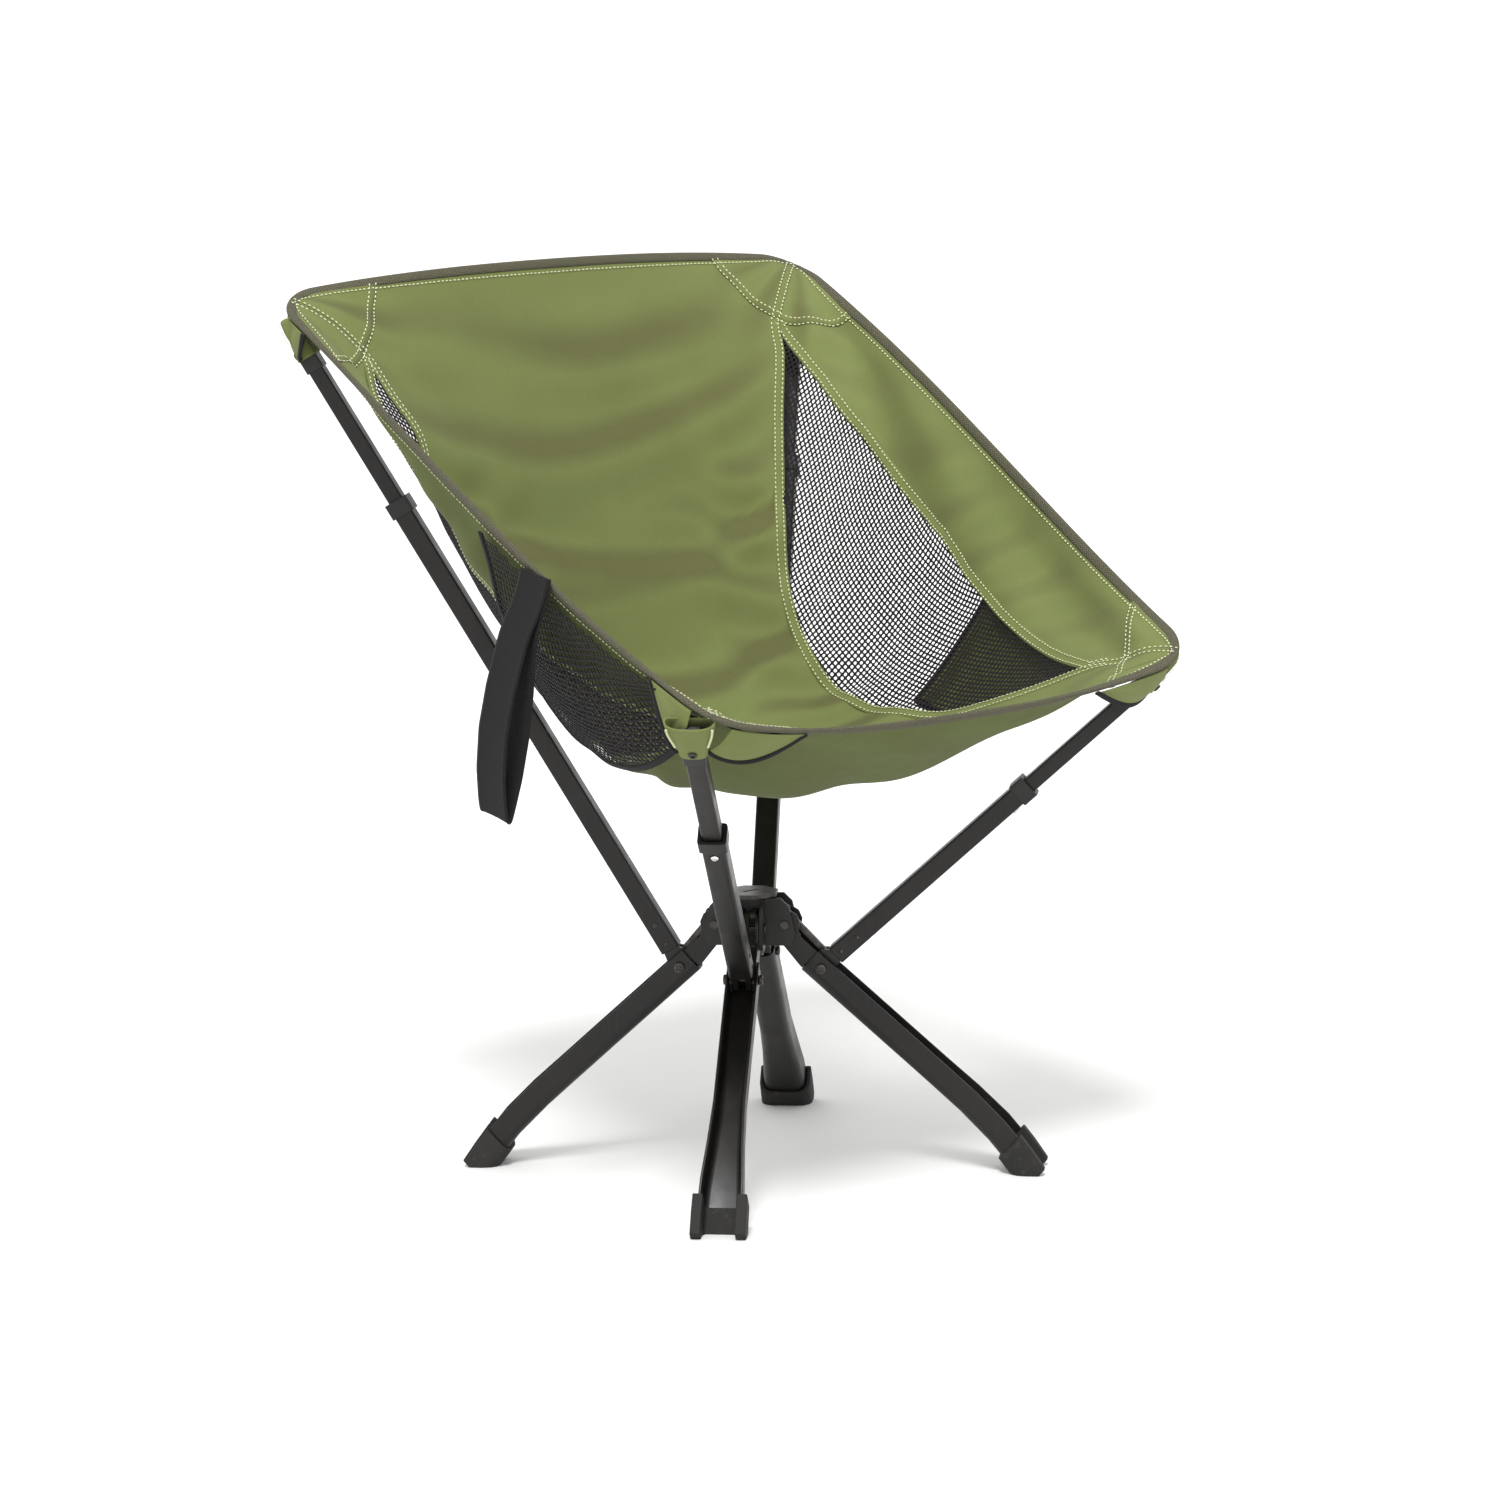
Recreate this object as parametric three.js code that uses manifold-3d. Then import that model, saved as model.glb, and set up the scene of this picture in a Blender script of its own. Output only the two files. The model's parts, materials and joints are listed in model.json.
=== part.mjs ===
// Four-leg pop-up folding camping chair with a bucket sling seat.
// Millimetres, +Z up, soles on z = 0, hub axis on the Z axis, the sitter faces -Y.
// Each corner is built in its own radial frame (X outwards, Y tangential, Z up) and turned into place.
import * as THREE from 'three';
import { mergeVertices } from 'three/addons/utils/BufferGeometryUtils.js';
import Module from 'manifold-3d';

const wasm = await Module();
wasm.setup();

// ---- driving dimensions -------------------------------------------------
const HINGE = { r: 30, z: 215 }; // leg hinge on the hub
const LINK_PIVOT = { r: 29, z: 225.5 }; // push link's pivot on the hub
const KNEE = { r: 61, z: 177 }; // arm pivot on the leg
const LEG_SLOPE = 42; // degrees below the horizontal
const BACK_ARM = { slope: 59.4, tube: 461, reach: 607, linkLength: 46.4 };
const FRONT_ARM = { slope: 41.7, tube: 234, reach: 368, linkLength: 48 };

const PIN_R = 2.2;
const HOLE_R = 3;
const GAP = 0.4;

// leg channel section, measured from the line through the arm pivot
const LEG = { open: 9.5, back: 13.5, half: 13.5, wall: 2.2, start: -12, end: 236, round: 8 };
const FLARE = { start: 130, grow: 5.5 }; // extra half width towards the foot
const BEND = { start: 170, middle: 205, drop: 7 }; // how far the foot end curves down
const BOOT = { start: 221, end: 256, cover: 4, lining: 2.5 };

// hub
const HUB = { bottom: 186, waist: 197, top: 238, core: 16, coreLow: 14, coreFoot: 10, lowHeight: 14 };
const EAR = {
  inner: 11.3, outer: 14.3, root: 10, foot: 36, bellyR: 39.5, bellyZ: 207, chinR: 34, chinZ: 231, crown: 27,
};
const TONGUE = { inner: 3.1, outer: 7.9, root: 12, round: 4.5, hole: 2.7 };
const PLATE = { bottom: 238.4, top: 242, half: 22, chamfer: 0.45, slot: 8, slotHalf: 1.6 };
const HUB_PIN = { headR: 4, head: 1.6 };
const ARM_SCREW = { headR: 4.6, head: 2.2 };

// knuckle between hub and leg channel
const KNUCKLE = {
  inner: 8.3, outer: 10.9, head: 13, top: 8, floor: 10.9, lap: 5.6, neck: -30, web: 2.4, webRise: 6.5,
};

// arm tubes: n is the thickness in the radial plane, t the tangential width
const OUTER = { n: 17, t: 20, wall: 1.4, start: 16, round: 2.5 };
const INNER = { n: 13.4, t: 16.4, wall: 1.3, round: 2, overlap: 60 };
const PLUG = {
  start: 14.6, end: 50, eye: 9, half: 6.5, inner: 3.3, outer: 7.8, lugAlong: 10, lugUp: 8, lugR: 4.2,
};
const LINK = { half: 2.6, crossR: 2 };
const COLLAR = { before: 9, after: 5, grow: 2 };
const BUTTON = { below: 19, r: 3.5, flangeR: 4.6, flange: 1.6, top: 10.4, chamfer: 1.3 };
const CAP = { before: 12, grow: 1.4, after: 4, tongueEnd: 30, tongueT: 16, tongueN: 5 };
const POCKET = { start: 7, end: 35, t: 34, n: 11, wall: 1.8 };

// seat: rim corners, then how the rim bows between them
const BACK_CORNER = new THREE.Vector3(283, 287, 750);
const FRONT_CORNER = new THREE.Vector3(255, -283, 451);
const CORNER_ROUND = 42;
const RIM_BOW = 10;
const RIM_LIFT = 12;
const FABRIC = 2.4;
const SEAM_GAP = 1.2;
// middle line of the sling from the top of the back to the front edge, as (y, z)
const SPINE = [
  [280, 765], [239, 640], [196, 520], [150, 420], [75, 353],
  [-28, 336], [-130, 349], [-222, 390], [-270, 425],
];
const STRAP = { width: 38, drop: 204, loop: 16, wall: 2, x: -286, y: -85, top: 546, leanBack: 9, leanOut: 4 };

const SLOTS = {
  frame: { color: 0x2f2b29, roughness: 0.42, metalness: 0.6 },
  hub_plastic: { color: 0x1f1e1d, roughness: 0.5, metalness: 0 },
  hub_plate: { color: 0x4a4744, roughness: 0.4, metalness: 0.5 },
  rubber: { color: 0x232323, roughness: 0.85, metalness: 0 },
  steel: { color: 0xb9b7b2, roughness: 0.25, metalness: 1 },
  dark_steel: { color: 0x3a3735, roughness: 0.35, metalness: 0.9 },
  green_fabric: { color: 0x7a8550, roughness: 0.9, metalness: 0 },
  black_mesh: { color: 0x2a2628, roughness: 0.95, metalness: 0 },
  webbing: { color: 0x262425, roughness: 0.9, metalness: 0 },
};

const chair = new THREE.Group();
const materials = {};
for (const [name, look] of Object.entries(SLOTS)) {
  materials[name] = new THREE.MeshStandardMaterial(look);
}

// ---- small tools --------------------------------------------------------
const rad = (degrees) => THREE.MathUtils.degToRad(degrees);
const mix = (a, b, f) => a + (b - a) * f;

function addMesh(parent, name, geometry, slot) {
  const mesh = new THREE.Mesh(geometry, materials[slot]);
  mesh.name = name;
  parent.add(mesh);
  return mesh;
}

function toSolid(geometry) {
  const bare = geometry.clone();
  bare.deleteAttribute('normal');
  bare.deleteAttribute('uv');
  const merged = mergeVertices(bare, 1e-4);
  const vertProperties = new Float32Array(merged.attributes.position.array);
  const triVerts = new Uint32Array(merged.index.array);
  return new wasm.Manifold(new wasm.Mesh({ numProp: 3, vertProperties, triVerts }));
}

function toGeometry(solid) {
  const mesh = solid.getMesh();
  const geometry = new THREE.BufferGeometry();
  geometry.setAttribute('position', new THREE.BufferAttribute(new Float32Array(mesh.vertProperties), 3));
  geometry.setIndex(new THREE.BufferAttribute(new Uint32Array(mesh.triVerts), 1));
  geometry.computeVertexNormals();
  return geometry;
}

function joined(geometries) {
  const solids = geometries.map(toSolid);
  return solids.reduce((sum, solid) => sum.add(solid));
}

function moved(geometry, x, y, z) {
  geometry.translate(x, y, z);
  return geometry;
}

// A profile in the X-Z plane, extruded along Y from y0 to y1.
function slab(shape, y0, y1, curveSegments = 6) {
  const geometry = new THREE.ExtrudeGeometry(shape, { depth: y1 - y0, bevelEnabled: false, curveSegments });
  geometry.rotateX(Math.PI / 2);
  geometry.translate(0, y1, 0);
  return geometry;
}

function polygon(points) {
  return new THREE.Shape(points.map(([x, y]) => new THREE.Vector2(x, y)));
}

function roundHole(shape, x, y, r) {
  const hole = new THREE.Path();
  hole.absarc(x, y, r, 0, Math.PI * 2, true);
  shape.holes.push(hole);
}

function roundedRect(width, height, r, Kind = THREE.Shape) {
  const x = width / 2;
  const y = height / 2;
  const path = new Kind();
  path.moveTo(-x + r, -y);
  path.lineTo(x - r, -y);
  path.quadraticCurveTo(x, -y, x, -y + r);
  path.lineTo(x, y - r);
  path.quadraticCurveTo(x, y, x - r, y);
  path.lineTo(-x + r, y);
  path.quadraticCurveTo(-x, y, -x, y - r);
  path.lineTo(-x, -y + r);
  path.quadraticCurveTo(-x, -y, -x + r, -y);
  return path;
}

// A bar of rounded rectangular section along Z, hollow if wall is given.
function rectBar(n, t, r, z0, z1, wall = 0) {
  const shape = roundedRect(n, t, r);
  if (wall) {
    shape.holes.push(roundedRect(n - 2 * wall, t - 2 * wall, Math.max(r - wall, 0.6), THREE.Path));
  }
  const options = { depth: z1 - z0, bevelEnabled: false, curveSegments: 2 };
  return moved(new THREE.ExtrudeGeometry(shape, options), 0, 0, z0);
}

// A closed solid between two grids of points with the same rows and columns.
function shellBetween(outer, inner) {
  const rows = outer.length;
  const cols = outer[0].length;
  const count = rows * cols;
  const positions = [...outer.flat(), ...inner.flat()].flatMap((p) => [p.x, p.y, p.z]);
  const at = (layer, i, j) => layer * count + i * cols + j;
  const index = [];
  const quad = (a, b, c, d) => index.push(a, b, c, a, c, d);
  for (let i = 0; i < rows - 1; i += 1) {
    for (let j = 0; j < cols - 1; j += 1) {
      quad(at(0, i, j), at(0, i + 1, j), at(0, i + 1, j + 1), at(0, i, j + 1));
      quad(at(1, i, j), at(1, i, j + 1), at(1, i + 1, j + 1), at(1, i + 1, j));
    }
    quad(at(0, i + 1, 0), at(0, i, 0), at(1, i, 0), at(1, i + 1, 0));
    quad(at(0, i, cols - 1), at(0, i + 1, cols - 1), at(1, i + 1, cols - 1), at(1, i, cols - 1));
  }
  for (let j = 0; j < cols - 1; j += 1) {
    quad(at(0, 0, j), at(0, 0, j + 1), at(1, 0, j + 1), at(1, 0, j));
    quad(at(0, rows - 1, j + 1), at(0, rows - 1, j), at(1, rows - 1, j), at(1, rows - 1, j + 1));
  }
  const geometry = new THREE.BufferGeometry();
  geometry.setAttribute('position', new THREE.Float32BufferAttribute(positions, 3));
  geometry.setIndex(index);
  if (signedVolume(geometry) < 0) {
    geometry.setIndex(index.reverse());
  }
  geometry.computeVertexNormals();
  return geometry;
}

function signedVolume(geometry) {
  const p = geometry.attributes.position;
  const index = geometry.index.array;
  const corner = (k) => new THREE.Vector3().fromBufferAttribute(p, index[k]);
  let total = 0;
  for (let k = 0; k < index.length; k += 3) {
    total += corner(k).dot(corner(k + 1).cross(corner(k + 2))) / 6;
  }
  return total;
}

// A round pin along Y with a head on each end.
function headedPin(shaftR, shaftHalf, headR, headThick, segments = 8) {
  const profile = [
    [0, -shaftHalf - headThick], [headR, -shaftHalf - headThick], [headR, -shaftHalf],
    [shaftR, -shaftHalf], [shaftR, shaftHalf], [headR, shaftHalf],
    [headR, shaftHalf + headThick], [0, shaftHalf + headThick],
  ];
  return new THREE.LatheGeometry(profile.map(([x, y]) => new THREE.Vector2(x, y)), segments);
}

// ---- hub ----------------------------------------------------------------
const CORNERS = [
  { name: 'back_right', turn: 45, arm: BACK_ARM },
  { name: 'back_left', turn: 135, arm: BACK_ARM },
  { name: 'front_left', turn: 225, arm: FRONT_ARM },
  { name: 'front_right', turn: 315, arm: FRONT_ARM },
];

function earShape() {
  const shape = polygon([
    [EAR.root, HUB.waist], [EAR.foot, HUB.waist], [EAR.bellyR, EAR.bellyZ],
    [EAR.chinR, EAR.chinZ], [EAR.crown, HUB.top], [EAR.root, HUB.top],
  ]);
  roundHole(shape, HINGE.r, HINGE.z, HOLE_R);
  return shape;
}

function tongueShape() {
  const { r, z } = LINK_PIVOT;
  const shape = new THREE.Shape();
  shape.moveTo(TONGUE.root, z - TONGUE.round);
  shape.lineTo(r, z - TONGUE.round);
  shape.absarc(r, z, TONGUE.round, -Math.PI / 2, Math.PI / 2, false);
  shape.lineTo(TONGUE.root, z + TONGUE.round);
  shape.closePath();
  roundHole(shape, r, z, TONGUE.hole);
  return shape;
}

function buildHub() {
  const core = new THREE.BoxGeometry(2 * HUB.core, 2 * HUB.core, HUB.top - HUB.waist);
  core.translate(0, 0, (HUB.top + HUB.waist) / 2);
  core.rotateZ(rad(45));
  const low = new THREE.CylinderGeometry(HUB.coreLow, HUB.coreFoot, HUB.lowHeight, 12);
  low.rotateX(Math.PI / 2);
  low.translate(0, 0, HUB.bottom + HUB.lowHeight / 2);
  const pieces = [core, low];
  for (const { turn } of CORNERS) {
    for (const side of [-1, 1]) {
      const spans = [[earShape(), EAR], [tongueShape(), TONGUE]];
      for (const [shape, span] of spans) {
        const y0 = side > 0 ? span.inner : -span.outer;
        const piece = slab(shape, y0, y0 + span.outer - span.inner, 3);
        piece.rotateZ(rad(turn));
        pieces.push(piece);
      }
    }
  }
  addMesh(chair, 'hub_body', toGeometry(joined(pieces)), 'hub_plastic');

  const half = PLATE.half;
  const cut = half * PLATE.chamfer;
  const outline = polygon([
    [half, -cut], [half, cut], [cut, half], [-cut, half],
    [-half, cut], [-half, -cut], [-cut, -half], [cut, -half],
  ]);
  const slot = new THREE.Path();
  slot.moveTo(-PLATE.slot, -PLATE.slotHalf);
  slot.lineTo(-PLATE.slot, PLATE.slotHalf);
  slot.lineTo(PLATE.slot, PLATE.slotHalf);
  slot.lineTo(PLATE.slot, -PLATE.slotHalf);
  slot.closePath();
  outline.holes.push(slot);
  const plate = new THREE.ExtrudeGeometry(outline, { depth: PLATE.top - PLATE.bottom, bevelEnabled: false });
  plate.translate(0, 0, PLATE.bottom);
  addMesh(chair, 'hub_top_plate', plate, 'hub_plate');
}

// ---- leg ----------------------------------------------------------------
function legHalf(u) {
  return LEG.half + FLARE.grow * THREE.MathUtils.smoothstep(u, FLARE.start, LEG.end);
}

function legBend(u) {
  const run = Math.max(0, (u - BEND.start) / (LEG.end - BEND.start));
  return -BEND.drop * run * run;
}

// One row of the U section at u, moved out by grow; the row runs from one free edge to the other.
function legRow(u, grow) {
  const half = legHalf(u) + grow;
  const floor = -LEG.back - grow;
  const r = LEG.round + grow;
  const shift = legBend(u);
  const row = [[-half, LEG.open]];
  for (let k = 0; k <= 3; k += 1) {
    const a = (Math.PI / 2) * (k / 3);
    row.push([-half + r - r * Math.cos(a), floor + r - r * Math.sin(a)]);
  }
  const mirrored = row.map(([t, v]) => [-t, v]).reverse();
  return [...row, ...mirrored].map(([t, v]) => new THREE.Vector3(u, t, v + shift));
}

function legShell(stations, outerGrow, innerGrow, openExtra = 0) {
  const lift = (row, extra) => {
    row[0].z += extra;
    row[row.length - 1].z += extra;
    return row;
  };
  const outer = stations.map((u) => lift(legRow(u, outerGrow), openExtra));
  const inner = stations.map((u) => lift(legRow(u, innerGrow), openExtra));
  return shellBetween(outer, inner);
}

function pinHole(u, v, r, reach) {
  const hole = new THREE.CylinderGeometry(r, r, 2 * reach, 12);
  return toSolid(moved(hole, u, 0, v));
}

function buildChannel() {
  const stations = [LEG.start, FLARE.start, BEND.start, BEND.middle, LEG.end];
  const shell = toSolid(legShell(stations, 0, -LEG.wall));
  return toGeometry(shell.subtract(pinHole(0, 0, HOLE_R, 20)));
}

function buildBoot(legMatrix) {
  const stations = [BOOT.start, LEG.end, BOOT.end];
  const sleeve = toSolid(legShell(stations, BOOT.cover, -LEG.wall - BOOT.lining, 3));
  const room = toSolid(legShell([BOOT.start - 5, BOOT.start, LEG.end + GAP], GAP, -LEG.wall - GAP, GAP));
  const air = new THREE.BoxGeometry(300, 200, 200);
  air.translate(KNEE.r + 200, 0, 100);
  air.applyMatrix4(legMatrix.clone().invert());
  return toGeometry(sleeve.subtract(room).intersect(toSolid(air)));
}

// Two side plates from the hub pin to the arm screw.
// They lap inside the channel's walls, and a web joins them outside it.
function buildKnuckle(hinge) {
  const { head, top, floor, lap, neck, web: webThick, webRise } = KNUCKLE;
  const step = LEG.start - 0.6;
  const outline = [[8.5, -lap], [10.5, -3], [8, top - 2], [4, top], [neck, top]];
  const first = Math.atan2(top - hinge.y, neck - hinge.x) + 0.25;
  const last = rad(248);
  for (let k = 0; k <= 7; k += 1) {
    const a = mix(first, last, k / 7);
    outline.push([hinge.x + head * Math.cos(a), hinge.y + head * Math.sin(a)]);
  }
  outline.push([step - 2, -floor], [step, -floor], [step, -lap]);
  const shape = polygon(outline);
  roundHole(shape, 0, 0, HOLE_R);
  roundHole(shape, hinge.x, hinge.y, HOLE_R);
  const web = polygon([
    [step, -floor], [step, -floor + webThick], [step - 6, -floor + webThick],
    [neck - 6, -floor + webRise + webThick], [neck - 6, -floor + webRise], [step - 2, -floor],
  ]);
  return toGeometry(joined([
    slab(shape, KNUCKLE.inner, KNUCKLE.outer, 3),
    slab(shape, -KNUCKLE.outer, -KNUCKLE.inner, 3),
    slab(web, -KNUCKLE.inner - 0.5, KNUCKLE.inner + 0.5),
  ]));
}

function buildLeg(corner, cornerGroup) {
  const leg = new THREE.Group();
  leg.position.set(KNEE.r, 0, KNEE.z);
  leg.rotation.y = rad(LEG_SLOPE);
  leg.updateMatrix();
  cornerGroup.add(leg);

  const hub = new THREE.Vector3(HINGE.r, 0, HINGE.z).applyMatrix4(leg.matrix.clone().invert());
  const hinge = new THREE.Vector2(hub.x, hub.z);
  addMesh(leg, `leg_channel_${corner.name}`, buildChannel(), 'frame');
  addMesh(leg, `leg_boot_${corner.name}`, buildBoot(leg.matrix), 'rubber');
  addMesh(leg, `leg_knuckle_${corner.name}`, buildKnuckle(hinge), 'frame');
  const screw = headedPin(PIN_R, LEG.half + GAP, ARM_SCREW.headR, ARM_SCREW.head);
  addMesh(leg, `arm_screw_${corner.name}`, screw, 'dark_steel');

  const hubPin = headedPin(PIN_R, EAR.outer + GAP, HUB_PIN.headR, HUB_PIN.head);
  const pin = addMesh(cornerGroup, `hub_pin_${corner.name}`, hubPin, 'dark_steel');
  pin.position.set(HINGE.r, 0, HINGE.z);
}

// ---- arm ----------------------------------------------------------------
// Arm frame: Z along the arm from its pivot, X towards the outer face, Y tangential.
function armMatrix(arm) {
  const a = rad(arm.slope);
  const along = new THREE.Vector3(Math.cos(a), 0, Math.sin(a));
  const outward = new THREE.Vector3(Math.sin(a), 0, -Math.cos(a));
  const matrix = new THREE.Matrix4().makeBasis(outward, new THREE.Vector3(0, 1, 0), along);
  matrix.setPosition(KNEE.r, 0, KNEE.z);
  return matrix;
}

function crossHole(x0, z, r) {
  const hole = new THREE.CylinderGeometry(r, r, 12, 12);
  hole.rotateZ(Math.PI / 2);
  return toSolid(moved(hole, x0 + 6, 0, z));
}

function buildPlug() {
  const { n, t, wall } = OUTER;
  const insert = rectBar(n - 2 * wall - 2 * GAP, t - 2 * wall - 2 * GAP, 1.5, PLUG.start, PLUG.end);
  // cheek outline as (x towards the outer face, z along the arm)
  const cheek = new THREE.Shape();
  cheek.moveTo(PLUG.half, PLUG.start + 1);
  cheek.lineTo(-PLUG.half, PLUG.start + 1);
  cheek.lineTo(-PLUG.lugUp, PLUG.lugAlong + PLUG.lugR);
  cheek.lineTo(-PLUG.lugUp - PLUG.lugR, PLUG.lugAlong);
  cheek.lineTo(-PLUG.eye, 3);
  cheek.absarc(0, 0, PLUG.eye, Math.PI, 2 * Math.PI, false);
  cheek.closePath();
  roundHole(cheek, 0, 0, HOLE_R);
  const solid = joined([
    insert,
    slab(cheek, PLUG.inner, PLUG.outer, 4),
    slab(cheek, -PLUG.outer, -PLUG.inner, 4),
  ]);
  return toGeometry(solid);
}

function buildCap(reach) {
  const { n, t, round } = INNER;
  const { before, after, grow } = CAP;
  const sleeve = toSolid(rectBar(n + 2 * grow, t + 2 * grow, round, reach - before, reach + after));
  const room = toSolid(rectBar(n + 2 * GAP, t + 2 * GAP, round, reach - before - 1, reach + GAP));
  const tongue = toSolid(rectBar(CAP.tongueN, CAP.tongueT, 1.5, reach + after - 1, reach + CAP.tongueEnd));
  return toGeometry(sleeve.subtract(room).add(tongue));
}

function buildPocket(reach) {
  const { start, end, t, n, wall } = POCKET;
  const outside = toSolid(rectBar(n, t, 3, reach + start, reach + end));
  const inside = toSolid(rectBar(n - 2 * wall, t - 2 * wall, 2, reach + start - 1, reach + end - wall));
  return toGeometry(outside.subtract(inside));
}

function buildButton(z) {
  const deep = INNER.n / 2 - INNER.wall - 0.5;
  const { r, flangeR, flange, top, chamfer } = BUTTON;
  const profile = [
    [0, deep - flange], [flangeR, deep - flange], [flangeR, deep], [r, deep],
    [r, top - chamfer], [r - chamfer, top], [0, top],
  ];
  const button = new THREE.LatheGeometry(profile.map(([x, y]) => new THREE.Vector2(x, y)), 10);
  button.rotateZ(-Math.PI / 2);
  return moved(button, 0, 0, z);
}

function buildArm(corner, cornerGroup) {
  const { arm, name } = corner;
  const group = new THREE.Group();
  group.matrixAutoUpdate = false;
  group.matrix.copy(armMatrix(arm));
  cornerGroup.add(group);

  const buttonZ = arm.tube - BUTTON.below;
  const outer = toSolid(rectBar(OUTER.n, OUTER.t, OUTER.round, OUTER.start, arm.tube, OUTER.wall));
  const outerHole = crossHole(2, buttonZ, BUTTON.r + GAP);
  addMesh(group, `arm_outer_${name}`, toGeometry(outer.subtract(outerHole)), 'frame');

  const innerStart = arm.tube - INNER.overlap;
  const inner = toSolid(rectBar(INNER.n, INNER.t, INNER.round, innerStart, arm.reach, INNER.wall));
  const innerHole = crossHole(2, buttonZ, BUTTON.r + GAP);
  addMesh(group, `arm_inner_${name}`, toGeometry(inner.subtract(innerHole)), 'frame');

  const { before, after, grow } = COLLAR;
  const end = arm.tube;
  const sleeve = toSolid(rectBar(OUTER.n + 2 * grow, OUTER.t + 2 * grow, 3, end - before, end + after));
  const bore = toSolid(rectBar(OUTER.n + 2 * GAP, OUTER.t + 2 * GAP, 2.6, end - before - 1, end + GAP));
  const mouth = toSolid(rectBar(INNER.n + 2 * GAP, INNER.t + 2 * GAP, 2, end - 1, end + after + 1));
  addMesh(group, `arm_collar_${name}`, toGeometry(sleeve.subtract(bore).subtract(mouth)), 'hub_plastic');

  addMesh(group, `arm_plug_${name}`, buildPlug(), 'hub_plastic');
  addMesh(group, `snap_button_${name}`, buildButton(buttonZ), 'steel');
  addMesh(group, `tip_cap_${name}`, buildCap(arm.reach), 'hub_plastic');
  addMesh(group, `corner_pocket_${name}`, buildPocket(arm.reach), 'green_fabric');
}

// Push link from the hub to the lug on the arm's base, along X from its hub pivot.
function buildLink(corner, cornerGroup) {
  const { slope, linkLength } = corner.arm;
  const a = rad(slope);
  const lug = {
    r: KNEE.r + PLUG.lugAlong * Math.cos(a) - PLUG.lugUp * Math.sin(a),
    z: KNEE.z + PLUG.lugAlong * Math.sin(a) + PLUG.lugUp * Math.cos(a),
  };
  const w = LINK.half;
  const bar = new THREE.Shape();
  bar.moveTo(0, -w);
  bar.lineTo(linkLength, -w);
  bar.absarc(linkLength, 0, w, -Math.PI / 2, Math.PI / 2, false);
  bar.lineTo(0, w);
  bar.absarc(0, 0, w, Math.PI / 2, Math.PI * 1.5, false);
  const cross = new THREE.CylinderGeometry(LINK.crossR, LINK.crossR, 2 * TONGUE.outer - 1, 12);
  const solid = joined([slab(bar, -w, w, 3), cross]);
  const link = addMesh(cornerGroup, `push_link_${corner.name}`, toGeometry(solid), 'dark_steel');
  link.position.set(LINK_PIVOT.r, 0, LINK_PIVOT.z);
  link.rotation.y = -Math.atan2(lug.z - LINK_PIVOT.z, lug.r - LINK_PIVOT.r);
}

// ---- seat ---------------------------------------------------------------
function rimPoint(t) {
  const bow = Math.sin(Math.PI * t);
  const p = BACK_CORNER.clone().lerp(FRONT_CORNER, t);
  return p.add(new THREE.Vector3(RIM_BOW * bow, 0, RIM_LIFT * bow * (1 - 2.4 * t)));
}

const spineCurve = new THREE.SplineCurve(SPINE.map(([y, z]) => new THREE.Vector2(y, z)));

// Seat surface: xi runs across from -1 at the left rim to 1 at the right,
// and t from the top of the back to the front edge.
function seatPoint(xi, t) {
  const rim = rimPoint(t);
  const spine = spineCurve.getPoint(t);
  const power = 2.3 + 0.5 * THREE.MathUtils.smoothstep(t, 0.3, 0.75);
  const k = Math.abs(xi) ** power;
  return new THREE.Vector3(rim.x * xi, mix(spine.x, rim.y, k), mix(spine.y, rim.z, k));
}

// Rounds the four corners of the cloth: near a corner the square grid is pressed into a quarter disc.
function rounded(xi, t) {
  const half = mix(BACK_CORNER.x, FRONT_CORNER.x, t);
  const length = BACK_CORNER.distanceTo(FRONT_CORNER);
  const nearEnd = t < 0.5 ? t * length : (1 - t) * length;
  const p = CORNER_ROUND - (1 - Math.abs(xi)) * half;
  const q = CORNER_ROUND - nearEnd;
  if (p <= 0 || q <= 0) return [xi, t];
  const scale = 2 * CORNER_ROUND ** 2;
  const fromSide = (CORNER_ROUND - p * Math.sqrt(1 - q * q / scale)) / half;
  const fromEnd = (CORNER_ROUND - q * Math.sqrt(1 - p * p / scale)) / length;
  return [Math.sign(xi) * (1 - fromSide), t < 0.5 ? fromEnd : 1 - fromEnd];
}

function seatNormal(xi, t) {
  const e = 0.01;
  const across = seatPoint(Math.min(xi + e, 1), t).sub(seatPoint(Math.max(xi - e, -1), t));
  const down = seatPoint(xi, Math.min(t + e, 1)).sub(seatPoint(xi, Math.max(t - e, 0)));
  return down.cross(across).normalize();
}

// Half width of the middle sling: it runs out to all four corners and has a narrow waist at the seat.
function slingEdge(t) {
  const waist = 0.42;
  if (t < 0.1) return 1 - 2.3 * t;
  if (t > 0.9) return mix(0.83, 1, (t - 0.9) / 0.1);
  const back = 0.35 * Math.max(1 - (t - 0.1) / 0.52, 0) ** 1.9;
  const front = 0.41 * Math.max((t - 0.36) / 0.54, 0) ** 1.5;
  return waist + back + front;
}

// Where each mesh window ends and the side wing begins.
function wingEdge(t) {
  if (t < 0.1) return 1 - 1.8 * t;
  const middle = t < 0.5 ? mix(0.82, 0.87, (t - 0.1) / 0.4) : mix(0.87, 0.78, (t - 0.5) / 0.4);
  return Math.max(middle, slingEdge(t));
}

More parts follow.
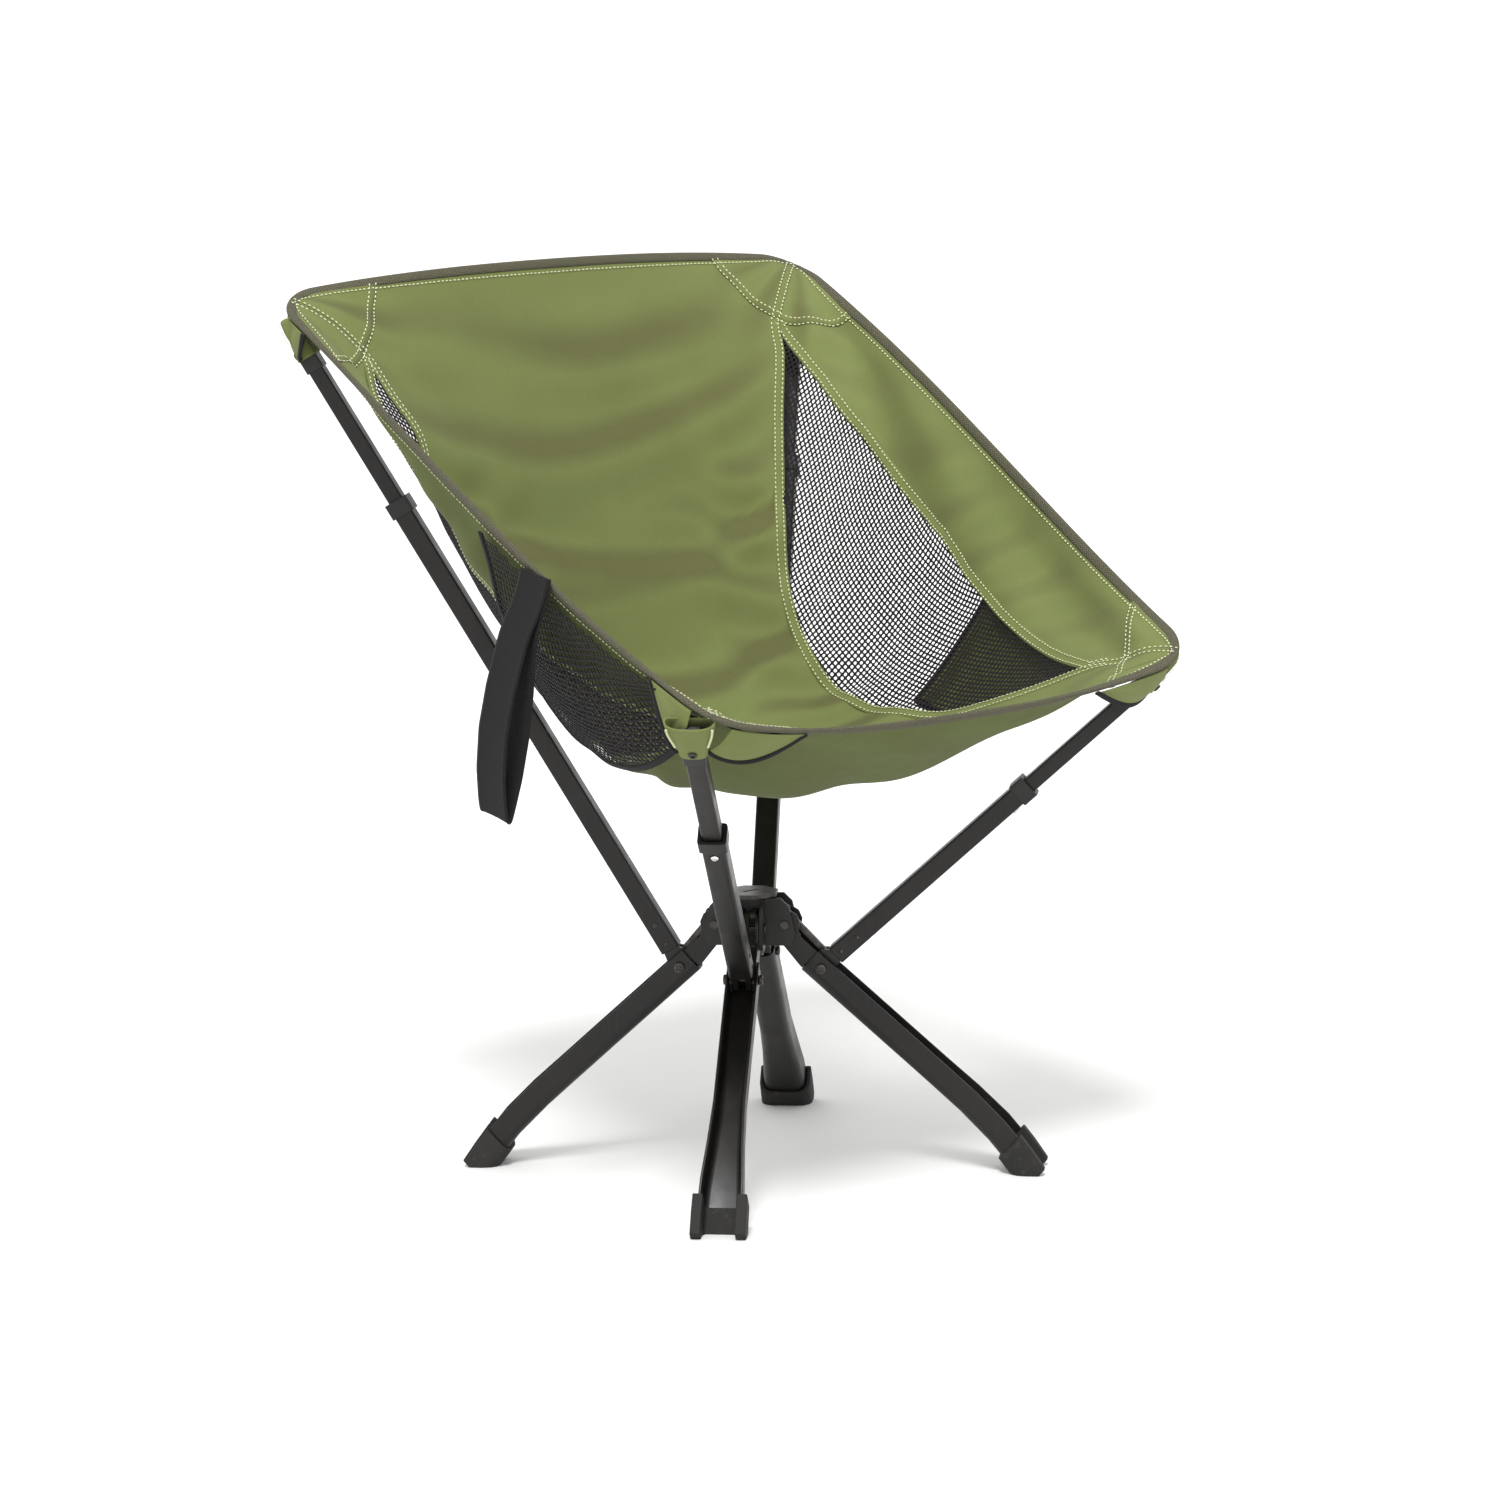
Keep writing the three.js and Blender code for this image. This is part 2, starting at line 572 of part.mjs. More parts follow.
// A fabric panel between two edges, given as functions of t, FABRIC thick about the seat surface.
function panel(lowEdge, highEdge, t0, t1, rows, cols) {
  const outer = [];
  const inner = [];
  for (let i = 0; i <= rows; i += 1) {
    const t = mix(t0, t1, i / rows);
    const above = [];
    const below = [];
    for (let j = 0; j <= cols; j += 1) {
      const xi = mix(lowEdge(t), highEdge(t), j / cols);
      const p = seatPoint(...rounded(xi, t));
      const n = seatNormal(...rounded(xi, t)).multiplyScalar(FABRIC / 2);
      above.push(p.clone().add(n));
      below.push(p.clone().sub(n));
    }
    outer.push(above);
    inner.push(below);
  }
  return shellBetween(outer, inner);
}

function buildSeat() {
  const gap = SEAM_GAP / BACK_CORNER.x;
  const slingHalf = (t) => slingEdge(t) - gap;
  addMesh(chair, 'seat_sling', panel((t) => -slingHalf(t), slingHalf, 0, 1, 14, 12), 'green_fabric');
  for (const [side, name] of [[-1, 'left'], [1, 'right']]) {
    const meshLow = (t) => side * (slingEdge(t) + gap);
    const meshHigh = (t) => side * (wingEdge(t) - gap);
    const wingLow = (t) => side * (wingEdge(t) + gap);
    addMesh(chair, `mesh_window_${name}`, panel(meshLow, meshHigh, 0.135, 0.83, 11, 3), 'black_mesh');
    addMesh(chair, `side_wing_${name}`, panel(wingLow, () => side * 0.997, 0.02, 0.985, 14, 3), 'green_fabric');
  }
}

// A closed loop of webbing hung from the left rim, leaning a little outwards and to the back.
function buildStrap() {
  const { width, drop, loop, wall, x, y, top, leanBack, leanOut } = STRAP;
  const ring = roundedRect(loop, drop, loop * 0.45);
  ring.holes.push(roundedRect(loop - 2 * wall, drop - 2 * wall, loop * 0.3, THREE.Path));
  const strap = moved(slab(ring, -width / 2, width / 2, 3), 0, 0, -drop / 2);
  const mesh = addMesh(chair, 'handle_strap', strap, 'webbing');
  mesh.position.set(x, y, top);
  mesh.rotation.set(rad(leanBack), rad(leanOut), 0);
}

// ---- assembly -----------------------------------------------------------
buildHub();
for (const corner of CORNERS) {
  const group = new THREE.Group();
  group.rotation.z = rad(corner.turn);
  chair.add(group);
  buildLeg(corner, group);
  buildArm(corner, group);
  buildLink(corner, group);
}
buildSeat();
buildStrap();

export default chair;
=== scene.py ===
"""Looks of a four-leg pop-up folding camping chair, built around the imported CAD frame.

Metres, +Z up, soles on z = 0, hub axis on Z. The sitter faces -Y, so left is -X.
The cloth is shaped in code on one seat surface and skinned to the four arm tips.
"""

import json
import math

import bmesh
import bpy
import numpy as np
from mathutils import Matrix, Vector

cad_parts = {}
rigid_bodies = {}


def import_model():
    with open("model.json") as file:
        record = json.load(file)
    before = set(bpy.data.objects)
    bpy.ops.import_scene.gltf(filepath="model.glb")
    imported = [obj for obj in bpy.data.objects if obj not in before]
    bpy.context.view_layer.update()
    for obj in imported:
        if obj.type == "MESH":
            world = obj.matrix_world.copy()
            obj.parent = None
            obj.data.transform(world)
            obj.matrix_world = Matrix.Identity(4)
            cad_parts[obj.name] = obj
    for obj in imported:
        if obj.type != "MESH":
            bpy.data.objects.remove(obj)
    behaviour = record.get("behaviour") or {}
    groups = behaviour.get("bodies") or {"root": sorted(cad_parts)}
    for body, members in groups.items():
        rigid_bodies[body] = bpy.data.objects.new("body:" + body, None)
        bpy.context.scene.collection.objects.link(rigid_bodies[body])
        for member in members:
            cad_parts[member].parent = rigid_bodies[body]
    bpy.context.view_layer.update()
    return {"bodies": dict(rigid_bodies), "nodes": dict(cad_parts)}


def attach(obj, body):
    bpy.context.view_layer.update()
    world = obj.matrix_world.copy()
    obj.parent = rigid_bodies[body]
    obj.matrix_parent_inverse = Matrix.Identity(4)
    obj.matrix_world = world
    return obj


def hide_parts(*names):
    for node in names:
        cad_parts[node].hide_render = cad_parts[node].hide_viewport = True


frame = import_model()
rng = np.random.default_rng(7)

# ---- dimensions ----
# Arm pivots: distance from the hub axis and height.
KNEE_R, KNEE_Z = 0.061, 0.177
# Each arm: azimuth and slope in degrees, length to its tip, right or left, back (0) or front (1).
CORNERS = {
    "back_right": dict(turn=45, slope=59.4, reach=0.607, side=1, end=0),
    "back_left": dict(turn=135, slope=59.4, reach=0.607, side=-1, end=0),
    "front_left": dict(turn=225, slope=41.7, reach=0.368, side=-1, end=1),
    "front_right": dict(turn=315, slope=41.7, reach=0.368, side=1, end=1),
}
# Right-hand corners of the rim, and the radius to which they are rounded.
BACK = np.array([0.283, 0.287, 0.750])
FRONT = np.array([0.255, -0.283, 0.451])
RIM_LENGTH = float(np.linalg.norm(BACK * [0, 1, 1] - FRONT * [0, 1, 1]))
ROUND = 0.042
RIM_BOW, RIM_LIFT = 0.010, 0.012
# Middle of the sling as (y, z), from the top of the back to the front edge.
SPINE = np.array([
    (0.280, 0.765), (0.239, 0.640), (0.196, 0.520), (0.150, 0.420), (0.075, 0.353),
    (-0.028, 0.336), (-0.130, 0.349), (-0.222, 0.390), (-0.270, 0.425),
])
CLOTH = 0.0013
# Soft bands across the backrest: (t, tilt, half width in t, height in metres).
BANDS = (
    (0.085, 0.020, 0.026, 0.0042), (0.165, -0.030, 0.030, 0.0060), (0.245, 0.025, 0.022, -0.0050),
    (0.300, -0.045, 0.026, 0.0060), (0.375, 0.030, 0.024, -0.0044), (0.430, -0.020, 0.024, 0.0048),
    (0.500, 0.030, 0.030, -0.0038),
)
WINDOW_T = (0.1, 0.857)
STITCH = dict(pitch=0.0043, length=0.0031, radius=0.00064)
# Corner patches at the back (0) and front (1): reach along the rim, and the power of their rounded edge.
PATCH_IN = {0: (0.103, 1.35), 1: (0.098, 1.08)}
PATCH_OUT = {0: (0.080, 1.3), 1: (0.088, 1.3)}
STRAP = dict(x=-0.286, y=-0.085, top=0.546, drop=0.204, width=0.038, back=9, out=4)
# Corner pocket: half widths and half depths at the cap and at the mouth, and how far the mouth leans in.
POCKET = dict(
    foot=0.0122, mouth=0.0205, foot_out=0.0100, mouth_out=0.0062, lean=0.002, low=0.0005, high=0.036,
)
# Reach of the corner flaps along the side rim and the end rim, and their sag, at the back (0) and front (1).
FLAP_SPAN = {"side": (0.060, 0.075), "end": (0.064, 0.102)}
FLAP_SAG = (0.006, 0.011)
# Side pockets: from t to t, and how far they bulge.
NET_POCKET = dict(t0=0.53, t1=0.885, depth=0.010)
SOLID_POCKET = dict(t0=0.60, t1=0.90, depth=0.012)
POCKET_GAP, POCKET_FOLDS = 0.0068, 0.35
UV_WIDTH, UV_LENGTH = 0.31, 0.78


# ---- seat surface ----
def ease(a, b, x):
    f = np.clip((x - a) / (b - a), 0, 1)
    return f * f * (3 - 2 * f)


def mix(a, b, f):
    return a + (b - a) * f


def spine(t):
    """Catmull-Rom line down the middle of the sling, as (y, z)."""
    last = len(SPINE) - 1
    p = np.clip(t, 0, 1) * last
    i = np.minimum(p.astype(int), last - 1)
    f = (p - i)[..., None]
    p0, p1 = SPINE[np.maximum(i - 1, 0)], SPINE[i]
    p2, p3 = SPINE[i + 1], SPINE[np.minimum(i + 2, last)]
    a, b = (p2 - p0) / 2, (p3 - p1) / 2
    return (2 * p1 - 2 * p2 + a + b) * f**3 + (3 * p2 - 3 * p1 - 2 * a - b) * f**2 + a * f + p1


def rim(t):
    bow = np.sin(np.pi * t)
    line = BACK + (FRONT - BACK) * t[..., None]
    lift = RIM_LIFT * bow * (1 - 2.4 * t)
    return line + np.stack([RIM_BOW * bow, 0 * bow, lift], -1)


def bare(xi, t):
    """Smooth seat surface: xi -1 to 1 from left rim to right, t 0 to 1 from top of back to front edge."""
    edge, middle = rim(t), spine(t)
    k = np.abs(xi) ** (2.3 + 0.5 * ease(0.3, 0.75, t))
    y = mix(middle[..., 0], edge[..., 1], k)
    z = mix(middle[..., 1], edge[..., 2], k)
    return np.stack([edge[..., 0] * xi, y, z], -1)


def rounded(xi, t):
    """Presses the square corners of the cloth into quarter discs of radius ROUND."""
    half = mix(BACK[0], FRONT[0], t)
    near = np.where(t < 0.5, t, 1 - t) * RIM_LENGTH
    p = ROUND - (1 - np.abs(xi)) * half
    q = ROUND - near
    inside = (p > 0) & (q > 0)
    p, q = np.clip(p, 0, ROUND), np.clip(q, 0, ROUND)
    from_side = (ROUND - p * np.sqrt(1 - q * q / (2 * ROUND**2))) / half
    from_end = (ROUND - q * np.sqrt(1 - p * p / (2 * ROUND**2))) / RIM_LENGTH
    new_xi = np.sign(xi) * (1 - from_side)
    new_t = np.where(t < 0.5, from_end, 1 - from_end)
    return np.where(inside, new_xi, xi), np.where(inside, new_t, t)


def unit(v):
    return v / np.maximum(np.linalg.norm(v, axis=-1, keepdims=True), 1e-12)


def normal(xi, t):
    """Unit normal on the sitter's side."""
    e = 0.004
    across = bare(np.clip(xi + e, -1, 1), t) - bare(np.clip(xi - e, -1, 1), t)
    down = bare(xi, np.clip(t + e, 0, 1)) - bare(xi, np.clip(t - e, 0, 1))
    return unit(np.cross(down, across))


def corner_distances(xi, t):
    """Distance from the nearer side rim and from the nearer end, along the cloth."""
    side = (1 - np.abs(xi)) * mix(BACK[0], FRONT[0], t)
    return side, np.minimum(t, 1 - t) * RIM_LENGTH


def wrinkle(xi, t):
    """Height of the folds above the smooth surface, towards the sitter."""
    x, side = np.abs(xi), np.sign(xi)
    wander = 0.10 * np.sin(2.6 * xi + 0.7) + 0.03 * np.sin(8 * xi + 15 * t)
    back = ease(0.02, 0.08, t) * (1 - ease(0.42, 0.6, t)) * (1 - ease(0.55, 0.95, x))
    h = 0 * t
    for at, tilt, width, height in BANDS:
        h += height * np.exp(-(((t - at - tilt * xi - 0.12 * wander) / width) ** 2))
    h = back * (h + 0.0011 * np.sin(2 * np.pi * (12.7 * t - 0.9 * wander + 0.5 * xi)))
    pull = np.exp(-(((x - 0.44) / 0.13) ** 2)) * ease(0.12, 0.3, t) * (1 - ease(0.6, 0.8, t))
    h += 0.0034 * pull * np.sin(2 * np.pi * (13 * t - 3.6 * x + 0.15 * side + 0.1 * np.sin(23 * t)))
    wing = ease(0.76, 0.88, x) * (1 - ease(0.975, 0.998, x)) * ease(0.06, 0.16, t) * (1 - ease(0.87, 0.97, t))
    h += 0.0050 * wing * np.sin(2 * np.pi * (4.4 * x + 2.1 * t + 0.2 * side))
    h += 0.0016 * wing * np.sin(2 * np.pi * (9.0 * t - 7 * x + 0.2 * np.sin(11 * t)))
    seat = ease(0.5, 0.62, t) * (1 - ease(0.88, 0.97, t)) * (1 - ease(0.5, 0.8, x))
    h += 0.0024 * seat * np.sin(2 * np.pi * (1.7 * xi + 4.3 * t + 0.12 * np.sin(7 * xi)))
    a, b = corner_distances(xi, t)
    far = np.hypot(a, b)
    spread = np.arctan2(a, b)
    h += 0.0014 * np.sin(15 * spread + 2 * side) * np.exp(-((far - 0.075) / 0.05) ** 2)
    hem = ease(0.0, 0.02, np.minimum(a, b))
    return h * hem


def on_cloth(xi, t, off=0.0, folds=1.0):
    """(points, normals) on the wrinkled cloth, off metres towards the sitter."""
    xi, t = np.broadcast_arrays(np.asarray(xi, float), np.asarray(t, float))
    xi, t = rounded(xi, t)
    n = normal(xi, t)
    return bare(xi, t) + n * (wrinkle(xi, t) * folds + off)[..., None], n


def sling_edge(t):
    """The xi of the seam between the sling and the right-hand net."""
    t = np.asarray(t, float)
    back = 0.36 * np.clip(1 - (t - 0.1) / 0.52, 0, None) ** 1.9
    front = 0.41 * np.clip((t - 0.36) / 0.54, 0, None) ** 1.5
    waist = 0.42 + back + front + 0.02 * ease(0.1, 0.14, t) * (1 - ease(0.35, 0.6, t))
    edge = np.where(t < 0.1, 1 - 2.2 * t, waist)
    return np.where(t > 0.9, mix(0.83, 1, (t - 0.9) / 0.1), edge)


def wing_edge(t):
    """The xi of the seam between the net and the right-hand wing."""
    t = np.asarray(t, float)
    middle = np.interp(t, [0.1, 0.2, 0.3, 0.5, 0.9], [0.782, 0.822, 0.845, 0.86, 0.765])
    return np.maximum(middle, sling_edge(t))


# ---- materials ----
class Nodes:
    """A procedural material: a Principled shader with helpers for the nodes around it."""

    def __init__(self, name, roughness, metallic=0.0, **sockets):
        self.material = bpy.data.materials.new(name)
        self.material.use_nodes = True
        self.tree = self.material.node_tree
        self.shader = self.tree.nodes["Principled BSDF"]
        self.shader.inputs["Roughness"].default_value = roughness
        self.shader.inputs["Metallic"].default_value = metallic
        for key, value in sockets.items():
            self.shader.inputs[key.replace("_", " ")].default_value = value
        self.place = self.add("ShaderNodeTexCoord")

    def add(self, kind, inputs=None, **settings):
        node = self.tree.nodes.new(kind)
        for key, value in settings.items():
            setattr(node, key, value)
        for key, value in (inputs or {}).items():
            if isinstance(value, bpy.types.NodeSocket):
                self.tree.links.new(value, node.inputs[key])
            else:
                node.inputs[key].default_value = value
        return node

    def noise(self, scale, detail=3.0, roughness=0.55):
        return self.add("ShaderNodeTexNoise", {
            "Vector": self.place.outputs["Object"], "Scale": scale, "Detail": detail, "Roughness": roughness,
        }).outputs["Fac"]

    def stretched_noise(self, stretch, scale, detail=3.0, where="Object"):
        mapped = self.add("ShaderNodeMapping", {"Vector": self.place.outputs[where], "Scale": stretch})
        return self.add("ShaderNodeTexNoise", {
            "Vector": mapped.outputs[0], "Scale": scale, "Detail": detail,
        }).outputs["Fac"]

    def bands(self, pitch, direction, distortion=0.0, angle=0.0):
        """Sine bands of that pitch in metres across X or Y of the UV map, which is in metres."""
        place = self.place.outputs["UV"]
        mapped = self.add("ShaderNodeMapping", {"Vector": place, "Rotation": (0, 0, angle)})
        return self.add("ShaderNodeTexWave", {
            "Vector": mapped.outputs[0], "Scale": 2 * math.pi / 20 / pitch, "Distortion": distortion,
            "Detail": 1.0,
        }, bands_direction=direction).outputs["Fac"]

    def math(self, operation, a, b=0.0):
        return self.add("ShaderNodeMath", {0: a, 1: b}, operation=operation).outputs[0]

    def spread(self, value, low, high, to_low, to_high):
        return self.add("ShaderNodeMapRange", {
            "Value": value, "From Min": low, "From Max": high, "To Min": to_low, "To Max": to_high,
        }).outputs[0]

    def blend(self, factor, a, b, kind="MIX"):
        node = self.add("ShaderNodeMix", {0: factor}, data_type="RGBA", blend_type=kind)
        for socket, value in ((node.inputs[6], a), (node.inputs[7], b)):
            if isinstance(value, bpy.types.NodeSocket):
                self.tree.links.new(value, socket)
            else:
                socket.default_value = (*value, 1)
        return node.outputs[2]

    def finish(self, colour=None, roughness=None, height=None, strength=0.4, distance=0.0003):
        links = self.tree.links
        if colour is not None:
            links.new(colour, self.shader.inputs["Base Color"])
        if roughness is not None:
            links.new(roughness, self.shader.inputs["Roughness"])
        if height is not None:
            bump = self.add("ShaderNodeBump", {"Height": height, "Strength": strength, "Distance": distance})
            links.new(bump.outputs[0], self.shader.inputs["Normal"])
        return self.material


def linear(hex_colour):
    """A six-digit sRGB colour as linear values."""
    parts = [int(hex_colour[i:i + 2], 16) / 255 for i in (0, 2, 4)]
    return tuple(p / 12.92 if p <= 0.04045 else ((p + 0.055) / 1.055) ** 2.4 for p in parts)


def woven(name, light, dark, shade, pitch=0.0007, roughness=0.82, sheen=0.06, bump=0.35):
    """Plain-weave cloth: threads both ways, slubs, uneven dye, and painted shade: the shade colour mixed in
    on the side of each fold that faces down.
    """
    n = Nodes(name, roughness, Sheen_Weight=sheen, Sheen_Roughness=0.5, Specular_IOR_Level=0.22)
    warp, weft = n.bands(pitch, "X", distortion=0.6), n.bands(pitch, "Y", distortion=0.6)
    weave = n.math("MAXIMUM", warp, weft)
    slub = n.stretched_noise((1, 14, 1), 260, where="UV")
    broad = n.noise(7.0)
    colour = n.blend(n.spread(broad, 0.3, 0.7, 0, 1), linear(light), linear(dark))
    # Painted shade: a per-point attribute mixes the shade colour into the side of each fold that faces down.
    fold = n.add("ShaderNodeAttribute", attribute_name="fold").outputs["Fac"]
    colour = n.blend(fold, colour, linear(shade))
    thread = n.spread(n.math("MULTIPLY", weave, slub), 0.1, 0.6, 0.82, 1.06)
    tint = n.add("ShaderNodeCombineColor", {0: thread, 1: thread, 2: thread}).outputs[0]
    colour = n.blend(1.0, colour, tint, "MULTIPLY")
    rough = n.spread(n.noise(60), 0.3, 0.7, roughness - 0.06, roughness + 0.08)
    height = n.math("ADD", n.math("MULTIPLY", weave, 0.7), n.math("MULTIPLY", slub, 0.5))
    return n.finish(colour, rough, height, bump, 0.00025)


def ribbed(name, light, dark, pitch, angle, roughness=0.8):
    """Narrow woven tape: slanting ribs that meet in a herringbone, with fuzz."""
    n = Nodes(name, roughness, Sheen_Weight=0.04, Sheen_Roughness=0.4, Specular_IOR_Level=0.25)
    one = n.bands(pitch, "Y", angle=angle)
    two = n.bands(pitch, "Y", angle=-angle)
    ribs = n.math("MAXIMUM", one, two)
    fuzz = n.noise(900)
    colour = n.blend(n.spread(n.math("MULTIPLY", ribs, fuzz), 0.15, 0.6, 0, 1), linear(dark), linear(light))
    rough = n.spread(fuzz, 0.3, 0.7, roughness - 0.05, roughness + 0.1)
    return n.finish(colour, rough, n.math("ADD", ribs, n.math("MULTIPLY", fuzz, 0.4)), 0.5, 0.0003)


def coated_metal(name, base, worn, roughness, metallic=0.35):
    """Satin powder coat: fine orange peel, rubbed patches and thin scratches along the tubes."""
    n = Nodes(name, roughness, metallic, Coat_Weight=0.05, Coat_Roughness=0.35, Specular_IOR_Level=0.35)
    peel, dust = n.noise(1400, 2.0), n.noise(45, 5.0)
    scratch = n.stretched_noise((1, 1, 0.06), 420, 6.0)
    rub = n.spread(n.math("MULTIPLY", dust, scratch), 0.30, 0.42, 0, 0.55)
    colour = n.blend(rub, linear(base), linear(worn))
    colour = n.blend(n.spread(n.noise(9), 0.35, 0.65, 0, 0.3), colour, linear(worn))
    rough = n.spread(dust, 0.3, 0.7, roughness - 0.07, roughness + 0.1)
    height = n.math("ADD", n.math("MULTIPLY", peel, 0.6), n.math("MULTIPLY", scratch, 0.25))
    return n.finish(colour, rough, height, 0.25, 0.0001)


def moulded(name, base, scuffed, roughness, grain=900, bump=0.35):
    """Moulded plastic or rubber: fine spark-eroded grain, flow marks and scuffs."""
    n = Nodes(name, roughness, Specular_IOR_Level=0.35)
    fine, flow = n.noise(grain, 2.0), n.noise(25, 4.0)
    scuff = n.spread(n.noise(140, 6.0, roughness=0.7), 0.56, 0.7, 0, 0.7)
    colour = n.blend(n.spread(flow, 0.35, 0.7, 0, 0.35), linear(base), linear(scuffed))
    colour = n.blend(scuff, colour, linear(scuffed))
    rough = n.spread(flow, 0.3, 0.7, roughness - 0.08, roughness + 0.08)
    return n.finish(colour, rough, fine, bump, 0.00012)


def plated(name, base, dull, roughness, metallic=1.0):
    """Plated or blued steel with turning marks and fingerprints."""
    n = Nodes(name, roughness, metallic)
    turning = n.stretched_noise((1, 1, 30), 120, 4.0)
    smear = n.noise(160, 5.0)
    colour = n.blend(n.spread(smear, 0.4, 0.7, 0, 0.6), linear(base), linear(dull))
    rough = n.spread(smear, 0.3, 0.7, roughness - 0.06, roughness + 0.15)
    return n.finish(colour, rough, turning, 0.15, 0.00006)


# The third colour of each cloth is painted shade, mixed in on the side of each fold that faces down.
GREEN = woven("green_weave", "6d7644", "666e3e", "4b4829")
# A darker copy of the green for the outer face of the cloth panels: painted shade for the underside and
# outside of the seat.
GREEN_PAINTED_SHADE_UNDER = woven("green_outer_face_painted_shade", "565f31", "50592d", "4b4a2a", roughness=0.9, sheen=0.03)
YARN = ribbed("net_yarn", "241f21", "121011", 0.0011, 0.9, 0.9)
WEBBING = ribbed("black_webbing", "1f1c1d", "0d0c0c", 0.0016, 0.75, 0.9)
BINDING = ribbed("rim_binding", "625f4c", "34332a", 0.0021, 0.8, 0.9)
THREAD = ribbed("cream_thread", "e6e8c2", "c6c99a", 0.0007, 0.6)
COAT = coated_metal("powder_coat", "110f0e", "231e1b", 0.38, 0.15)
HUB = moulded("hub_moulding", "121110", "2c2a28", 0.4)
PLATE = coated_metal("plate_coat", "3b3835", "5a5651", 0.34, 0.5)
RUBBER = moulded("boot_rubber", "191817", "383634", 0.8, 600, 0.5)
CHROME = plated("chrome", "d8d6d2", "a9a6a1", 0.16)
BLUED = plated("dark_plate", "4b4744", "2b2927", 0.34, 0.85)
CAD_LOOKS = {
    "frame": COAT, "hub_plastic": HUB, "hub_plate": PLATE, "rubber": RUBBER,
    "steel": CHROME, "dark_steel": BLUED, "green_fabric": GREEN, "black_mesh": YARN, "webbing": WEBBING,
}


# ---- mesh helpers ----
def make(name, points, faces, material, uv=None, outwards=False):
    """A smooth-shaded mesh. uv has one pair in metres per point, or per point of one layer of two."""
    data = bpy.data.meshes.new(name)
    rows = [row for block in faces for row in np.asarray(block).tolist()]
    data.from_pydata(np.asarray(points).reshape(-1, 3).tolist(), [], rows)
    data.polygons.foreach_set("use_smooth", [True] * len(data.polygons))
    if uv is not None:
        uv = np.asarray(uv, np.float32).reshape(-1, 2)
        uv = np.tile(uv, (len(data.vertices) // len(uv), 1))
        layer = data.uv_layers.new(name="UVMap")
        index = np.zeros(len(data.loops), int)
        data.loops.foreach_get("vertex_index", index)
        layer.data.foreach_set("uv", uv[index].ravel())
    data.materials.append(material)
    obj = bpy.data.objects.new(name, data)
    bpy.context.scene.collection.objects.link(obj)
    if outwards:
        face_outwards(obj)
    return obj


def face_outwards(obj):
    """Turns the faces of a closed mesh to the outside."""
    bm = bmesh.new()
    bm.from_mesh(obj.data)
    bmesh.ops.recalc_face_normals(bm, faces=bm.faces)
    bm.to_mesh(obj.data)
    bm.free()


def grid_faces(rows, cols, start=0, flip=False, wrap=False):
    i, j = np.meshgrid(np.arange(rows - 1), np.arange(cols if wrap else cols - 1), indexing="ij")
    k = (j + 1) % cols
    quads = np.stack([i * cols + j, (i + 1) * cols + j, (i + 1) * cols + k, i * cols + k], -1)
    quads = quads.reshape(-1, 4) + start
    return quads[:, ::-1] if flip else quads


def border(rows, cols):
    """The outer points of a grid, in order, back to the first."""
    down = [(i, 0) for i in range(rows - 1)] + [(rows - 1, j) for j in range(cols - 1)]
    up = [(i, cols - 1) for i in range(rows - 1, 0, -1)] + [(0, j) for j in range(cols - 1, 0, -1)]
    return np.array([i * cols + j for i, j in down + up])


def layered(upper, lower):
    """Points and faces of a closed sheet between two grids of points."""
    rows, cols = upper.shape[:2]
    count = rows * cols
    points = np.concatenate([upper.reshape(-1, 3), lower.reshape(-1, 3)])
    edge = border(rows, cols)
    after = np.roll(edge, -1)
    sides = np.stack([edge, edge + count, after + count, after], -1)
    return points, [grid_faces(rows, cols), grid_faces(rows, cols, count, flip=True), sides]


def cloth_sheet(xi, t, middle, thick, folds=1.0):
    """Points and faces of a closed sheet whose middle is that far off the seat surface."""
    return layered(*(on_cloth(xi, t, middle + k * thick / 2, folds)[0] for k in (1, -1)))


def cloth_uv(xi, t):
    return np.stack([xi * UV_WIDTH, t * UV_LENGTH], -1)


def metre_uv(across, along):
    """One UV pair for each point of a grid whose rows run along and whose columns run across."""
    return np.stack(np.broadcast_arrays(across[None, :], along[:, None]), -1).reshape(-1, 2)


def cloth_panel(name, xi, t, middle=0.0, thick=CLOTH):
    """A closed sheet on the seat surface over a grid of (xi, t), with painted shade: a per-point attribute
    that darkens the side of each fold that faces down, and a darker material on the outer face.
    """
    obj = make(name, *cloth_sheet(xi, t, middle, thick), GREEN, cloth_uv(xi, t))
    e = 0.004
    # Painted shade: the side of each fold that faces down gets up to 0.65 of the shade colour.
    slope = (wrinkle(xi, np.clip(t + e, 0, 1)) - wrinkle(xi, np.clip(t - e, 0, 1))) / (2 * e * UV_LENGTH)
    shade = np.clip(0.12 + slope * 2.0, 0, 0.65).reshape(-1)
    obj.data.attributes.new("fold", "FLOAT", "POINT").data.foreach_set(
        "value", np.concatenate([shade, shade]).astype(np.float32))
    # Painted shade: the outer face of the sheet gets the darker copy of the green.
    obj.data.materials.append(GREEN_PAINTED_SHADE_UNDER)
    half = (xi.shape[0] - 1) * (xi.shape[1] - 1)
    back = np.arange(len(obj.data.polygons))
    obj.data.polygons.foreach_set("material_index", ((back >= half) & (back < 2 * half)).astype(np.int32))
    return obj


def line_frame(xi, t, off=0.0, folds=1.0):
    """Points, tangents, side directions and normals along a line on the cloth."""
    points, n = on_cloth(xi, t, off, folds)
    along = unit(np.gradient(points, axis=0))
    return points, along, unit(np.cross(n, along)), n


def even(points, arrays, spacing):
    """Resamples a line and its arrays at an even spacing. Returns (distances, points, arrays)."""
    steps = np.concatenate([[0], np.cumsum(np.linalg.norm(np.diff(points, axis=0), axis=1))])
    count = max(int(round(steps[-1] / spacing)), 2)
    s = np.linspace(0, steps[-1], count + 1)

    def take(a):
        return np.stack([np.interp(s, steps, a[:, k]) for k in range(a.shape[1])], -1)

    return s, take(points), [take(a) for a in arrays]


